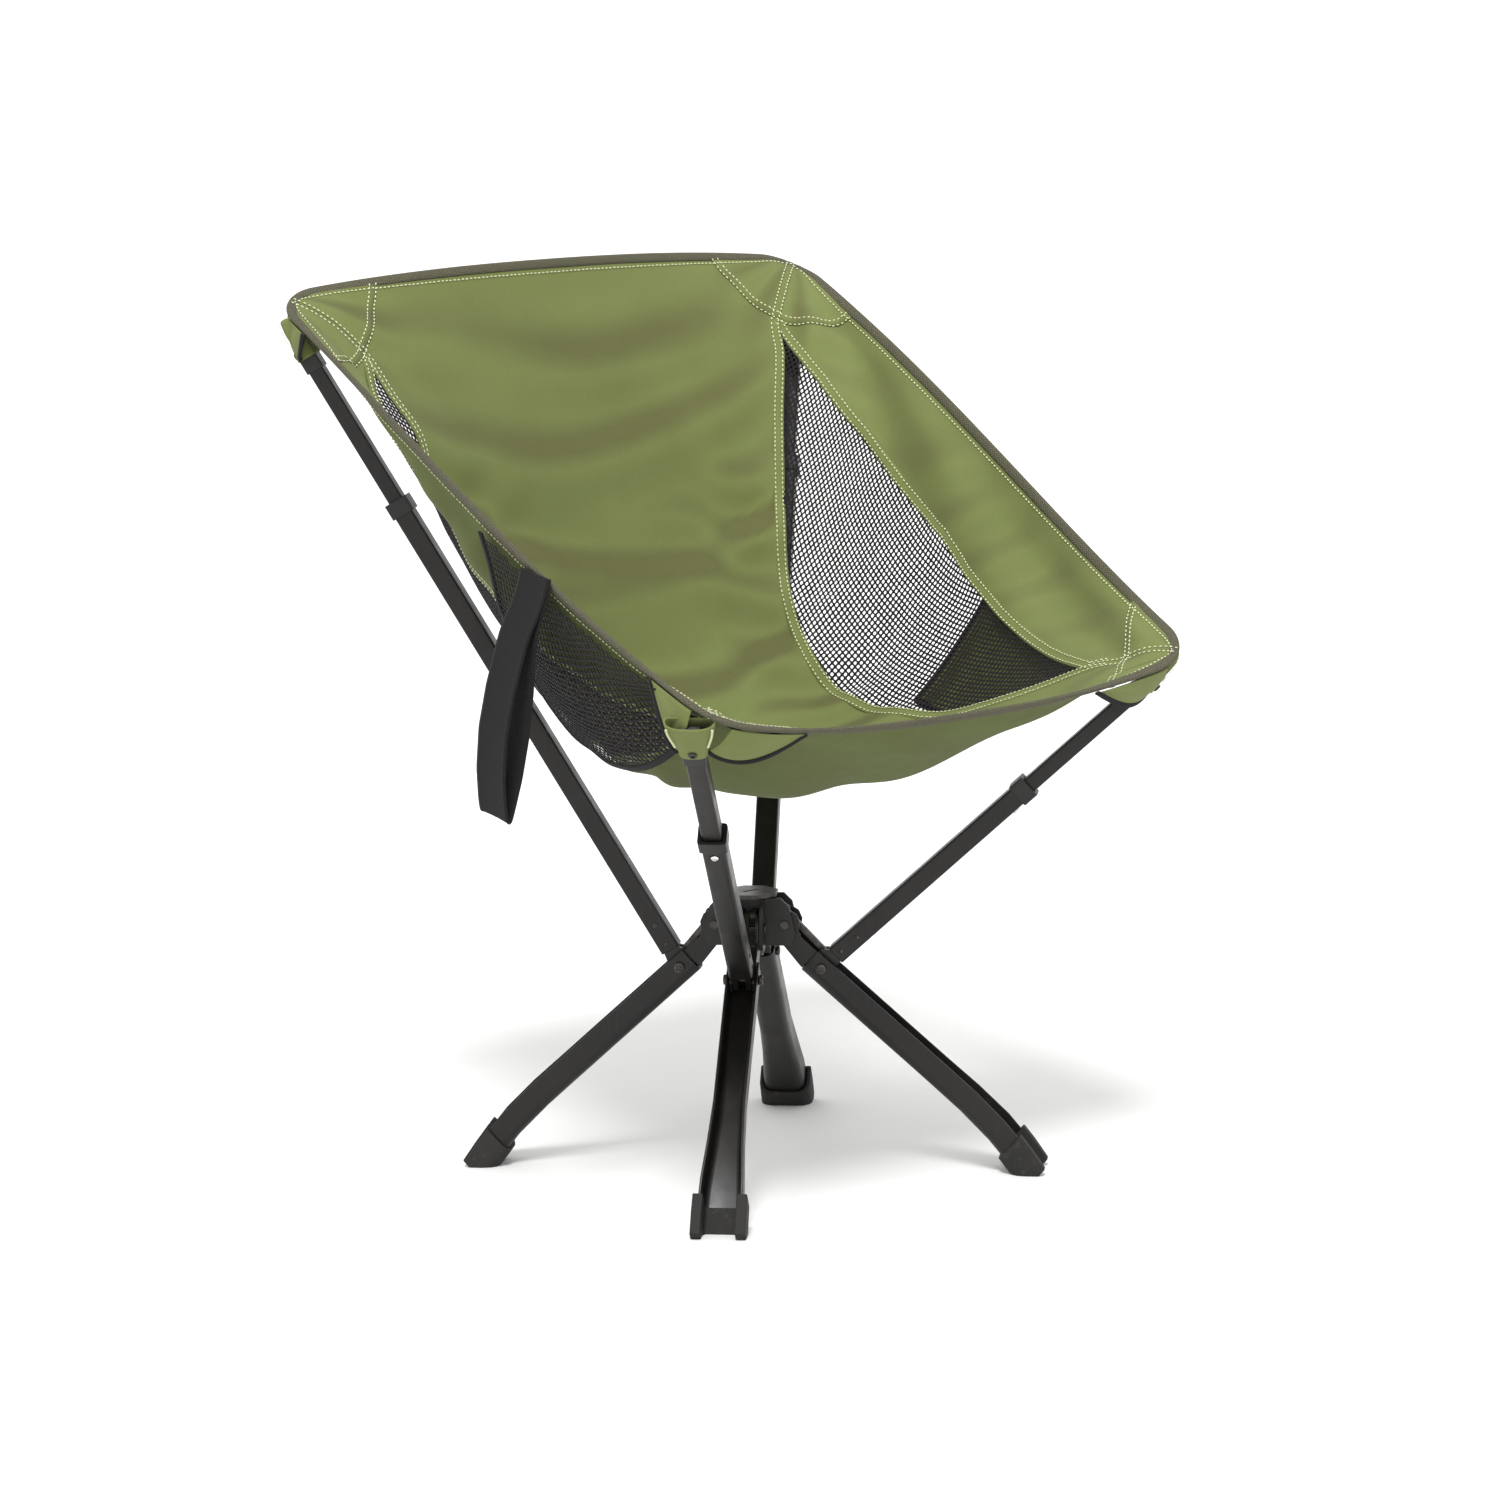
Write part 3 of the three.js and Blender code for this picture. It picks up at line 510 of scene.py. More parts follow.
def swept(points, across, up, ring, length, closed=False, scale=None):
    """A closed section (side, up) swept along a line. Returns points, faces and a UV in metres."""
    ring = np.asarray(ring)
    size = (np.ones(len(points)) if scale is None else scale)[:, None, None]
    body = (points[:, None] + across[:, None] * ring[:, 0][None, :, None] * size
            + up[:, None] * ring[:, 1][None, :, None] * size)
    rows, cols = body.shape[:2]
    if closed:
        faces = [grid_faces(rows + 1, cols, wrap=True) % (rows * cols)]
    else:
        first, last = np.arange(cols), np.arange(cols) + (rows - 1) * cols
        faces = [grid_faces(rows, cols, wrap=True), [first.tolist()], [last[::-1].tolist()]]
    round_it = np.concatenate([[0], np.cumsum(np.linalg.norm(np.diff(ring, axis=0), axis=1))])
    return body.reshape(-1, 3), faces, metre_uv(round_it, length)


def oval(width, height, count, power=2.6):
    a = np.arange(count) / count * 2 * np.pi
    c, s = np.cos(a), np.sin(a)
    return np.stack([width / 2 * np.sign(c) * np.abs(c) ** (2 / power),
                     height / 2 * np.sign(s) * np.abs(s) ** (2 / power)], -1)


# ---- cloth rig ----
def build_rig():
    """An armature whose four bones copy the arm tips, so that the cloth follows them."""
    data = bpy.data.armatures.new("cloth_rig")
    rig = bpy.data.objects.new("cloth_rig", data)
    bpy.context.scene.collection.objects.link(rig)
    bpy.context.view_layer.objects.active = rig
    bpy.ops.object.mode_set(mode="EDIT")
    for name in CORNERS:
        bone = data.edit_bones.new(name)
        bone.head, bone.tail, bone.roll = (0, 0, 0), (0, 1, 0), 0
    bpy.ops.object.mode_set(mode="OBJECT")
    for name in CORNERS:
        copy = rig.pose.bones[name].constraints.new("COPY_TRANSFORMS")
        copy.target = frame["bodies"][f"inner_{name}"]
    rig.hide_render = True
    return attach(rig, "seat")


RIG = build_rig()


def tip_weights(points):
    """How much each point of the cloth follows each arm tip, in the order of CORNERS."""
    span = BACK[1:] - FRONT[1:]
    drop = (BACK[1:] - points[:, 1:]) @ span / (span @ span)
    v = np.clip(0.5 * (BACK[1] - points[:, 1]) / span[0] + 0.5 * drop, 0, 1)
    u = np.clip(points[:, 0] / rim(v)[:, 0], -1, 1)
    v = np.clip((v - 0.05) / 0.9, 0, 1)
    right = np.clip(((1 + u) / 2 - 0.05) / 0.9, 0, 1)
    return np.stack([right * (1 - v), (1 - right) * (1 - v), (1 - right) * v, right * v], -1)


def skin(obj, body="seat", weights=None):
    """The piece rides on body and bends with the arm tips."""
    data = obj.data
    co = np.zeros(len(data.vertices) * 3)
    data.vertices.foreach_get("co", co)
    rows = tip_weights(co.reshape(-1, 3)) if weights is None else np.tile(weights, (len(data.vertices), 1))
    for name in CORNERS:
        obj.vertex_groups.new(name=name)
    bm = bmesh.new()
    bm.from_mesh(data)
    layer = bm.verts.layers.deform.verify()
    for vertex, row in zip(bm.verts, rows.tolist()):
        share = vertex[layer]
        share[0], share[1], share[2], share[3] = row
    bm.to_mesh(data)
    bm.free()
    bend = obj.modifiers.new("arm tips", "ARMATURE")
    bend.object = RIG
    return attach(obj, body)


def declare(obj):
    """Declares a sheet. Its flat area is half the surface of its own closed mesh, or LEAST_SHARE of the
    rectangle where that is more. Nothing is done with it. The rectangle grows where it is smaller than
    the area.
    """
    bm = bmesh.new()
    bm.from_mesh(obj.data)
    area = sum(face.calc_area() for face in bm.faces) / 2
    bm.free()


# ---- stitches ----
STITCHES = []


def patch_bulge(xi, t):
    """1 where a corner patch lies on the inside of the cloth, else 0."""
    a, b = corner_distances(xi, t)
    result = np.zeros_like(a)
    for end, (size, power) in PATCH_IN.items():
        here = (t > 0.5) == bool(end)
        result = np.where(here & ((a / size) ** power + (b / size) ** power < 1), 1.0, result)
    return result


def stitch(xi, t, offsets, sides=(1, -1), lift=0.0):
    """Rows of thread along a line on the cloth, one row for each sideways offset, on one or both faces."""
    xi, t = np.broadcast_arrays(np.asarray(xi, float), np.asarray(t, float))
    points, along, across, n = line_frame(xi, t)
    bulge = patch_bulge(xi, t)[:, None]
    s, points, (along, across, n, bulge) = even(points, [along, across, n, bulge], STITCH["pitch"])
    for offset in offsets:
        shift = rng.uniform(-0.0003, 0.0003, (len(s), 1))
        for side in sides:
            high = CLOTH / 2 + 0.00045 + lift + (bulge * 0.001 if side > 0 else 0)
            centre = points + across * (offset + shift * 0.5) + n * side * high + along * shift
            turn = rng.normal(0, 0.05, (len(s), 1))
            way = unit(along + across * turn)
            STITCHES.append((centre, way, unit(np.cross(n, way)), n, STITCH["length"]))


def build_stitches(name, rows):
    """Rows of thread as one mesh of small flattened capsules."""
    rings, r = 6, STITCH["radius"]
    a = np.arange(rings) / rings * 2 * np.pi
    shape = [(-0.5, 0, 0)]
    for x, size in ((-0.36, 0.8), (0.0, 1.0), (0.36, 0.8)):
        shape += [(x, math.cos(k) * size, math.sin(k) * size * 0.8) for k in a]
    shape.append((0.5, 0, 0))
    shape = np.array(shape)
    count = len(shape)
    last_ring = count - 1 - rings
    quads = grid_faces(3, rings, 1, wrap=True, flip=True)
    tips = [(0, 1 + k, 1 + (k + 1) % rings) for k in range(rings)]
    tips += [(count - 1, last_ring + (k + 1) % rings, last_ring + k) for k in range(rings)]
    blocks, square, pointed, start = [], [], [], 0
    for centre, along, across, n, length in rows:
        p = (centre[:, None] + along[:, None] * shape[None, :, :1] * length
             + across[:, None] * shape[None, :, 1:2] * r + n[:, None] * shape[None, :, 2:] * r)
        step = (np.arange(len(centre)) * count + start)[:, None, None]
        square.append((quads[None] + step).reshape(-1, 4))
        pointed.append((np.array(tips)[None] + step).reshape(-1, 3))
        blocks.append(p.reshape(-1, 3))
        start += len(centre) * count
    points = np.concatenate(blocks)
    uv = np.tile(np.stack([shape[:, 1] * r, shape[:, 0] * 0.003], -1), (start // count, 1))
    return make(name, points, square + pointed, THREAD, uv)


# ---- net ----
def net(name, side, low, high, t_range, off, pitch=0.0044, hole=0.70, thick=0.0006, folds=1.0):
    """Knitted net with rounded square holes between two edges, given as functions of t."""
    t = np.linspace(*t_range, 260)
    x = np.linspace(0, 1, 90)
    tt, ff = np.meshgrid(t, x, indexing="ij")
    margin = 0.03
    xx = mix(low(tt) - margin, high(tt) + margin, ff).clip(0, 1)
    points, _ = on_cloth(side * xx, tt)
    across = np.concatenate([np.zeros((len(t), 1)),
                             np.cumsum(np.linalg.norm(np.diff(points, axis=1), axis=2), axis=1)], 1)
    across -= across[:, 45:46]
    down = np.concatenate([[0], np.cumsum(np.linalg.norm(np.diff(points[:, 45], axis=0), axis=1))])
    reach = float(np.abs(across).max())
    a_line = np.linspace(-reach, reach, 240)
    table = np.stack([np.interp(a_line, across[k], xx[k]) for k in range(len(t))])

    def place(ab):
        """(xi, t) of points given as distances across and down the net."""
        row = np.interp(ab[:, 1], down, np.arange(len(t)))
        col = np.interp(ab[:, 0], a_line, np.arange(len(a_line)))
        i, j = np.minimum(row.astype(int), len(t) - 2), np.minimum(col.astype(int), len(a_line) - 2)
        f, g = row - i, col - j
        xi = ((1 - f) * ((1 - g) * table[i, j] + g * table[i, j + 1])
              + f * ((1 - g) * table[i + 1, j] + g * table[i + 1, j + 1]))
        return xi, np.interp(row, np.arange(len(t)), t)

    rows, cols = int(down[-1] / pitch) + 1, int(2 * reach / pitch) + 2
    j, i = np.meshgrid(np.arange(rows), np.arange(-cols // 2, cols // 2 + 1), indexing="ij")
    centres = np.stack([i.ravel(), j.ravel()], -1) * pitch
    xi, at = place(centres)
    keep = (xi > low(at)) & (xi < high(at)) & (np.abs(centres[:, 0]) < reach)
    centres = centres[keep]
    spoke = np.array([(1, 1), (0, 1), (-1, 1), (-1, 0), (-1, -1), (0, -1), (1, -1), (1, 0)]) * pitch / 2
    outer = (centres[:, None] + spoke[None]).reshape(-1, 2)
    key = np.round(outer / (pitch * 0.1)).astype(int)
    _, first, index = np.unique(key, axis=0, return_index=True, return_inverse=True)
    index = index.reshape(-1, 8)
    slack = 1 + rng.uniform(-0.06, 0.06, (len(centres), 1, 1))
    curve = np.where(np.arange(8) % 2, 1.0, 0.8)[:, None] * hole
    inner = (centres[:, None] + spoke[None] * curve * slack).reshape(-1, 2)
    both = np.concatenate([outer[first], inner])
    xi, at = place(both)
    xi = np.clip(xi, low(at) - 0.004, high(at) + 0.004)
    top, _ = on_cloth(side * xi, at, off(xi, at) + thick / 2, folds)
    bottom, _ = on_cloth(side * xi, at, off(xi, at) - thick / 2, folds)
    count, base = len(both), len(first)
    k = np.arange(8)
    ring = index[:, k], index[:, (k + 1) % 8]
    holes = base + np.arange(len(centres))[:, None] * 8
    inn = holes + k[None], holes + ((k + 1) % 8)[None]
    face = np.stack([ring[0], ring[1], inn[1], inn[0]], -1).reshape(-1, 4)
    wall = np.stack([inn[0], inn[1], inn[1] + count, inn[0] + count], -1).reshape(-1, 4)
    faces = [face[:, ::-1], face + count, wall[:, ::-1]]
    if side > 0:
        faces = [block[:, ::-1] for block in faces]
    return make(name, np.concatenate([top, bottom]), faces, YARN, both)


# ---- cloth pieces ----
def build_cloth():
    rows = np.linspace(0, 1, 170)
    across = np.linspace(-1, 1, 121)
    t, s = np.meshgrid(rows, across, indexing="ij")
    sling = cloth_panel("sling_cloth", s * sling_edge(t), t)
    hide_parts("seat_sling")
    skin(sling)
    declare(sling)
    for side, name in ((-1, "left"), (1, "right")):
        t, f = np.meshgrid(np.linspace(0.004, 0.996, 170), np.linspace(0, 1, 30), indexing="ij")
        xi = side * mix(wing_edge(t), 1.0, f)
        wing = cloth_panel(f"wing_cloth_{name}", xi, t)
        if side < 0:
            wing.data.flip_normals()
        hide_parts(f"side_wing_{name}")
        skin(wing)
        declare(wing)
        window = net(f"window_net_{name}", side, sling_edge, wing_edge, WINDOW_T, lambda xi, t: 0 * xi)
        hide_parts(f"mesh_window_{name}")
        skin(window)
        declare(window)
    build_seams()
    build_rim()
    for name, c in CORNERS.items():
        build_patches(name, c)


def tape(name, xi, t, width, high, material, off=0.0, folds=1.0):
    """A woven tape over both faces of a seam."""
    points, _, side, n = line_frame(xi, t, off, folds)
    s, points, (side, n) = even(points, [side, n], 0.003)
    w, h = width / 2, high
    ring = [(-w, 0), (-w * 0.86, -h), (-w * 0.3, -h * 1.12), (w * 0.3, -h * 1.12), (w * 0.86, -h),
            (w, 0), (w * 0.86, h), (w * 0.3, h * 1.12), (-w * 0.3, h * 1.12), (-w * 0.86, h)]
    body, faces, uv = swept(points, unit(side), unit(n), ring, s)
    return skin(make(name, body, faces, material, uv))


def build_seams():
    """The felled seams between sling, net and wings, each with two rows of thread."""
    width, rows = 0.0105, (-0.0031, 0.0031)
    t = np.linspace(0.012, 0.988, 300)
    u = np.linspace(WINDOW_T[0] + 0.004, WINDOW_T[1] + 0.02, 240)
    for side, name in ((-1, "left"), (1, "right")):
        sling_line, wing_line = side * (sling_edge(t) - 0.004), side * (wing_edge(u) + 0.006)
        tape(f"sling_seam_{name}", sling_line, t, width, 0.00105, GREEN)
        stitch(sling_line, t, rows, lift=0.0007)
        tape(f"wing_seam_{name}", wing_line, u, width, 0.0010, GREEN)
        stitch(wing_line, u, rows, lift=0.00065)


def outline(inset=0.0):
    """The edge of the cloth as (xi, t), once round, inset by a distance measured along the cloth."""
    f = np.linspace(0, 1, 500, endpoint=False)
    e, b = 0.02, inset / RIM_LENGTH
    t = b + (1 - 2 * b) * f
    a = inset * e / np.linalg.norm(bare(1 + 0 * t, t) - bare(1 - e + 0 * t, t), axis=-1)
    left = np.stack([-1 + a, t], -1)
    front = np.stack([mix(-1 + a[-1], 1 - a[-1], f), 1 - b + 0 * f], -1)
    right = np.stack([1 - a[::-1], t[::-1]], -1)
    back = np.stack([mix(1 - a[0], -1 + a[0], f), b + 0 * f], -1)
    line = np.concatenate([left, front, right, back])
    return line[:, 0], line[:, 1]


def build_rim():
    """The bound edge: a ribbed tape folded round the cloth, with thread just inside it."""
    xi, t = outline()
    points, n = on_cloth(xi, t)
    points, n = np.concatenate([points, points[:1]]), np.concatenate([n, n[:1]])
    s, points, (n,) = even(points, [n], 0.0013)
    points, n = points[:-1], unit(n[:-1])
    along = unit(np.roll(points, -1, 0) - np.roll(points, 1, 0))
    outwards = unit(np.cross(n, along))
    if float(((points - points.mean(0)) * outwards).sum()) < 0:
        outwards = -outwards
    scale = 1 + 0.035 * np.where(np.arange(len(points)) % 2, 1, -1) + 0.01 * np.sin(s[:-1] * 60)
    ring = oval(0.0090, 0.0048, 16)
    ring[:, 0] -= 0.0028
    body, faces, uv = swept(points, outwards, n, ring, s[:-1], closed=True, scale=scale)
    skin(make("rim_binding", body, faces, BINDING, uv))
    xi, t = outline(0.0105)
    stitch(np.append(xi, xi[0]), np.append(t, t[0]), (0.0,), lift=0.0003)


def patch_grid(c, size, power, rows=16, cols=25):
    """(xi, t) over a corner patch that runs size metres along both edges."""
    r, a = np.meshgrid(np.linspace(0.03, 1, rows), np.linspace(0, np.pi / 2, cols), indexing="ij")
    reach = size / (np.cos(a) ** power + np.sin(a) ** power + 1e-12) ** (1 / power)
    from_side, from_end = r * reach * np.cos(a), r * reach * np.sin(a)
    t = from_end / RIM_LENGTH
    t = 1 - t if c["end"] else t
    return c["side"] * (1 - from_side / mix(BACK[0], FRONT[0], t)), t


def build_patches(name, c):
    """The doubled cloth inside each corner, and outside it a patch with a black bound edge."""
    flip = (c["side"] > 0) == bool(c["end"])
    thick, size = 0.001, {"inside": 0.11, "outside": 0.10}
    for where, shape, middle in (
        ("inside", PATCH_IN, CLOTH / 2 + 0.0006), ("outside", PATCH_OUT, -CLOTH / 2 - 0.0007),
    ):
        xi, t = patch_grid(c, *shape[c["end"]])
        patch = cloth_panel(f"patch_{where}_{name}", xi, t, middle, thick)
        if flip:
            patch.data.flip_normals()
        skin(patch)
        declare(patch)
        if where == "inside":
            for row in (-2, -1):
                stitch(xi[row][1:-1], t[row][1:-1], (0.0,), (1,), lift=-0.0002)
    tape(f"patch_edge_{name}", xi[-1][1:-1], t[-1][1:-1], 0.0055, 0.0011, WEBBING,
         off=-CLOTH / 2 - 0.0010)


# ---- corner pockets ----
def arm_axes(c):
    """(knee, outwards-and-down normal, tangential, along the arm) of one corner."""
    turn, slope = math.radians(c["turn"]), math.radians(c["slope"])
    radial = np.array([math.cos(turn), math.sin(turn), 0])
    up = np.array([0, 0, 1.0])
    knee = radial * KNEE_R + up * KNEE_Z
    out = radial * math.sin(slope) - up * math.cos(slope)
    side = np.array([-math.sin(turn), math.cos(turn), 0])
    return knee, out, side, radial * math.cos(slope) + up * math.sin(slope)


def pocket_size(f):
    """(half width, half depth, height) of a corner pocket, f from 0 at the cap to 1 at the mouth."""
    return (mix(POCKET["foot"], POCKET["mouth"], ease(0, 1, f)),
            mix(POCKET["foot_out"], POCKET["mouth_out"], f), mix(POCKET["low"], POCKET["high"], f))


def build_pocket(name, c):
    """The funnel of cloth that holds an arm tip: narrow at the cap, wide and flat at its open top."""
    knee, out, side, along = arm_axes(c)
    rings, count, wall = 15, 40, 0.0011
    a = np.arange(count) / count * 2 * np.pi
    co, si = np.cos(a), np.sin(a)
    layers = []
    power = 2 / 3.2
    for shrink in (0.0, wall):
        rows = []
        for f in np.linspace(0, 1, rings):
            half_side, half_out, height = pocket_size(f)
            x = (half_out - shrink) * np.sign(co) * np.abs(co) ** power
            y = (half_side - shrink) * np.sign(si) * np.abs(si) ** power
            crease = 0.0005 * np.sin(5 * a + 9 * f + c["turn"]) * np.sin(np.pi * f)
            x = x + crease - POCKET["lean"] * f
            z = c["reach"] + height - 0.0022 * f * np.cos(2 * a)
            rows.append(knee + out * x[:, None] + side * y[:, None] + along * z[:, None])
        layers.append(np.array(rows))
    outer, inner = layers
    total = rings * count
    points = np.concatenate([outer.reshape(-1, 3), inner.reshape(-1, 3)])
    k = np.arange(count)
    n = (k + 1) % count
    top = (rings - 1) * count
    faces = [
        grid_faces(rings, count, wrap=True, flip=True), grid_faces(rings, count, total, wrap=True),
        np.stack([k, k + total, n + total, n], -1)[:, ::-1],
        np.stack([top + k, top + n, top + n + total, top + k + total], -1)[:, ::-1],
    ]
    uv = metre_uv(a * 0.016, np.linspace(0, POCKET["high"], rings))
    obj = make(f"pocket_cloth_{name}", points, faces, GREEN, uv, outwards=True)
    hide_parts(f"corner_pocket_{name}")
    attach(obj, f"inner_{name}")
    declare(obj)
    build_pocket_trim(name, c)
    build_flaps(name, c)


def build_pocket_trim(name, c):
    """Bar tacks down both sides of a corner pocket, and the screw that holds it to the cap."""
    knee, out, side, along = arm_axes(c)
    tacks, from_edge, length = [], 0.0022, 0.0024
    for sign in (-1, 1):
        for f in np.linspace(0.42, 0.98, 15):
            half_side, half_out, height = pocket_size(f)
            outwards = half_out - POCKET["lean"] * f + 0.0003
            centre = (knee + out * outwards + side * sign * (half_side - from_edge)
                      + along * (c["reach"] + height))
            tacks.append((centre[None], side[None], along[None], out[None], length))
    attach(build_stitches(f"pocket_tacks_{name}", tacks), f"inner_{name}")
    at = knee + out * 0.0098 + along * (c["reach"] + 0.006)
    screw_head(f"pocket_screw_{name}", at, out, 0.0036, 0.0015, f"inner_{name}")


def rim_point(c, distance, along_side):
    """A point just under the rim, that far along it from a corner."""
    xi, t = 1.0, distance / RIM_LENGTH
    if not along_side:
        xi, t = 1 - distance / (FRONT[0] if c["end"] else BACK[0]), 0.0
    t = 1 - t if c["end"] else t
    return on_cloth(np.array([c["side"] * xi]), np.array([t]), -0.0035)[0][0]


def build_flaps(name, c):
    """The two bound flaps from a corner pocket up to the rim, one along the side and one along the end."""
    knee, out, side, along = arm_axes(c)
    s, v = np.linspace(0, 1, 30), np.linspace(0, 1, 14)
    start_gap, thick = 0.020, 0.001
    for where in ("side", "end"):
        span = FLAP_SPAN[where][c["end"]]
        far = rim_point(c, span, where == "side")
        sign = 1 if (far - knee) @ side > 0 else -1
        top = np.array([rim_point(c, mix(start_gap, span, f), where == "side") for f in s])
        start = knee + out * 0.004 + side * sign * 0.0115 + along * (c["reach"] + 0.004)
        sag = np.array([0, 0, -FLAP_SAG[c["end"]]]) + out * 0.003
        low = start + (far - start) * s[:, None] + sag * (np.sin(np.pi * s ** 0.8))[:, None]
        sheet = top[:, None] + (low - top)[:, None] * v[None, :, None]
        puff = 0.004 * np.sin(np.pi * v)[None, :] * (1 - s)[:, None]
        puff = puff + 0.0008 * np.sin(9 * s[:, None] + 7 * v[None, :])
        sheet = sheet + out * (puff * np.sin(np.pi * v))[..., None]
        n = unit(np.cross(np.gradient(sheet, axis=0), np.gradient(sheet, axis=1)))
        n[-1] = n[-2]
        points, faces = layered(sheet + n * thick / 2, sheet - n * thick / 2)
        uv = np.stack(np.broadcast_arrays(s[:, None] * span, v[None, :] * 0.04), -1)
        flap = skin(make(f"corner_flap_{where}_{name}", points, faces, GREEN, uv, outwards=True))
        declare(flap)
        steps, line, (up,) = even(low, [n[:, -1]], 0.003)
        across = unit(np.cross(unit(np.gradient(line, axis=0)), unit(up)))
        body, faces, uv = swept(line, across, unit(up), oval(0.0052, 0.0026, 12), steps)
        skin(make(f"corner_flap_edge_{where}_{name}", body, faces, WEBBING, uv, outwards=True))


# ---- hardware ----
def round_axis(axis):
    """Unit vectors (axis, u, v) at right angles to each other."""
    axis = unit(np.asarray(axis, float))
    guide = np.array([0, 0, 1.0]) if abs(axis[2]) < 0.9 else np.array([1.0, 0, 0])
    u = unit(np.cross(axis, guide))
    return axis, u, np.cross(axis, u)


def lathe(profile, origin, axis, count=28):
    """Points and faces of a turned shape: profile pairs are (radius, height), from the axis out and down."""
    axis, u, v = round_axis(axis)
    a = np.arange(count) / count * 2 * np.pi
    radial = u * np.cos(a)[:, None] + v * np.sin(a)[:, None]
    points = np.concatenate([origin + radial * r + axis * h for r, h in profile])
    faces = [grid_faces(len(profile), count, wrap=True), [list(range(count))[::-1]]]
    return points, faces


def screw_head(name, at, axis, radius, height, body):
    """A pan head with a cross recess cut into it."""
    axis, u, v = round_axis(axis)
    size = 33
    g = np.linspace(-1, 1, size)
    x, y = np.meshgrid(g, g, indexing="ij")
    disc_x, disc_y = x * np.sqrt(1 - y * y / 2), y * np.sqrt(1 - x * x / 2)
    r = np.hypot(disc_x, disc_y)
    dome = height * (1 - np.clip(r, 0, 1) ** 3.2 * 0.55)
    arm, arm_reach = 0.15, 0.6
    turned_x, turned_y = (disc_x + disc_y) / math.sqrt(2), (disc_x - disc_y) / math.sqrt(2)
    recess = np.maximum((np.abs(turned_x) < arm) & (np.abs(turned_y) < arm_reach),
                        (np.abs(turned_y) < arm) & (np.abs(turned_x) < arm_reach))
    dome = dome - recess * height * 0.6
    flat = at + u * (disc_x * radius)[..., None] + v * (disc_y * radius)[..., None]
    points, faces = layered(flat + axis * dome[..., None], flat - axis * 0.0004)
    obj = make(name, points, faces, BLUED, outwards=True)
    obj.data.set_sharp_from_angle(angle=math.radians(38))
    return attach(obj, body)


def reach_of(node, origin, axis):
    """How far a CAD node goes from origin along axis."""
    co = np.array([v.co for v in frame["nodes"][node].data.vertices])
    return float(((co - origin) @ axis).max())


def build_hardware():
    """The arm screws' heads and the two rivets on each face of an outer arm tube."""
    profile = [(0.0002, 0.0011), (0.0012, 0.00095), (0.0019, 0.0006), (0.0023, 0.0001), (0.0023, -0.0004)]
    for name, c in CORNERS.items():
        knee, _, side, along = arm_axes(c)
        for sign, where in ((-1, "a"), (1, "b")):
            face = reach_of(f"arm_screw_{name}", knee, sign * side)
            screw_head(f"arm_screw_head_{where}_{name}", knee + sign * side * (face - 0.0002), sign * side,
                       0.0043, 0.0011, f"leg_{name}")
            for k, distance in enumerate((0.022, 0.041)):
                face = reach_of(f"arm_outer_{name}", knee, sign * side)
                at = knee + along * distance + sign * side * (face - 0.0003)
                points, faces = lathe(profile, at, sign * side, 20)
                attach(make(f"rivet_{where}{k}_{name}", points, faces, BLUED), f"arm_{name}")


# ---- side pockets ----
def bag(t0, t1, depth):
    """How far a pocket between t0 and t1 stands off the seat, as a function of (xi, t)."""
    def off(xi, t):
        down = np.sin(np.pi * np.clip((t - t0) / (t1 - t0), 0, 1))
        across = np.sin(np.pi * np.clip((xi - 0.42) / 0.575, 0, 1)) ** 0.8
        return -POCKET_GAP - depth * down * across

    return off


def net_low(t):
    return sling_edge(t) + 0.01


def solid_low(t):
    return np.maximum(0.60 + 0 * t, sling_edge(t) + 0.01)


def pocket_high(t):
    return 0.985 + 0 * t


def build_side_pockets():
    """Outside the left wing a net pocket, outside the right one a solid pocket, both off the seat."""
    t0, t1 = NET_POCKET["t0"], NET_POCKET["t1"]
    off = bag(**NET_POCKET)
    pocket = net("side_pocket_net", -1, net_low, pocket_high, (t0, t1), off, 0.0060, 0.80, folds=POCKET_FOLDS)
    skin(pocket)
    declare(pocket)
    bound(-1, net_low, pocket_high, t0, t1, off, "side_pocket_band")
    t0, t1 = SOLID_POCKET["t0"], SOLID_POCKET["t1"]
    off = bag(**SOLID_POCKET)
    t, f = np.meshgrid(np.linspace(t0, t1, 60), np.linspace(0, 1, 40), indexing="ij")
    xi = mix(solid_low(t), pocket_high(t), f)
    sheet = cloth_sheet(xi, t, off(xi, t), CLOTH, POCKET_FOLDS)
    solid = skin(make("side_pocket_cloth", *sheet, GREEN, cloth_uv(xi, t)))
    declare(solid)
    bound(1, solid_low, pocket_high, t0, t1, off, "side_pocket_edge")


def bound(side, low, high, t0, t1, off, name):
    """Black tape round the three free edges of a side pocket, wide along the front."""
    f = np.linspace(0, 1, 90)
    first, last, t = t0 + 0 * f, t1 + 0 * f, mix(t0, t1, f)
    lines = (
        ("mouth", mix(low(first), high(first), f), first, 0.006),
        ("bottom", low(t), t, 0.007),
        ("front", mix(low(last), high(last), f), last, 0.015),
    )
    for part, xi, at, width in lines:
        tape(f"{name}_{part}", side * xi, at, width, 0.0011, WEBBING, off(xi, at), POCKET_FOLDS)


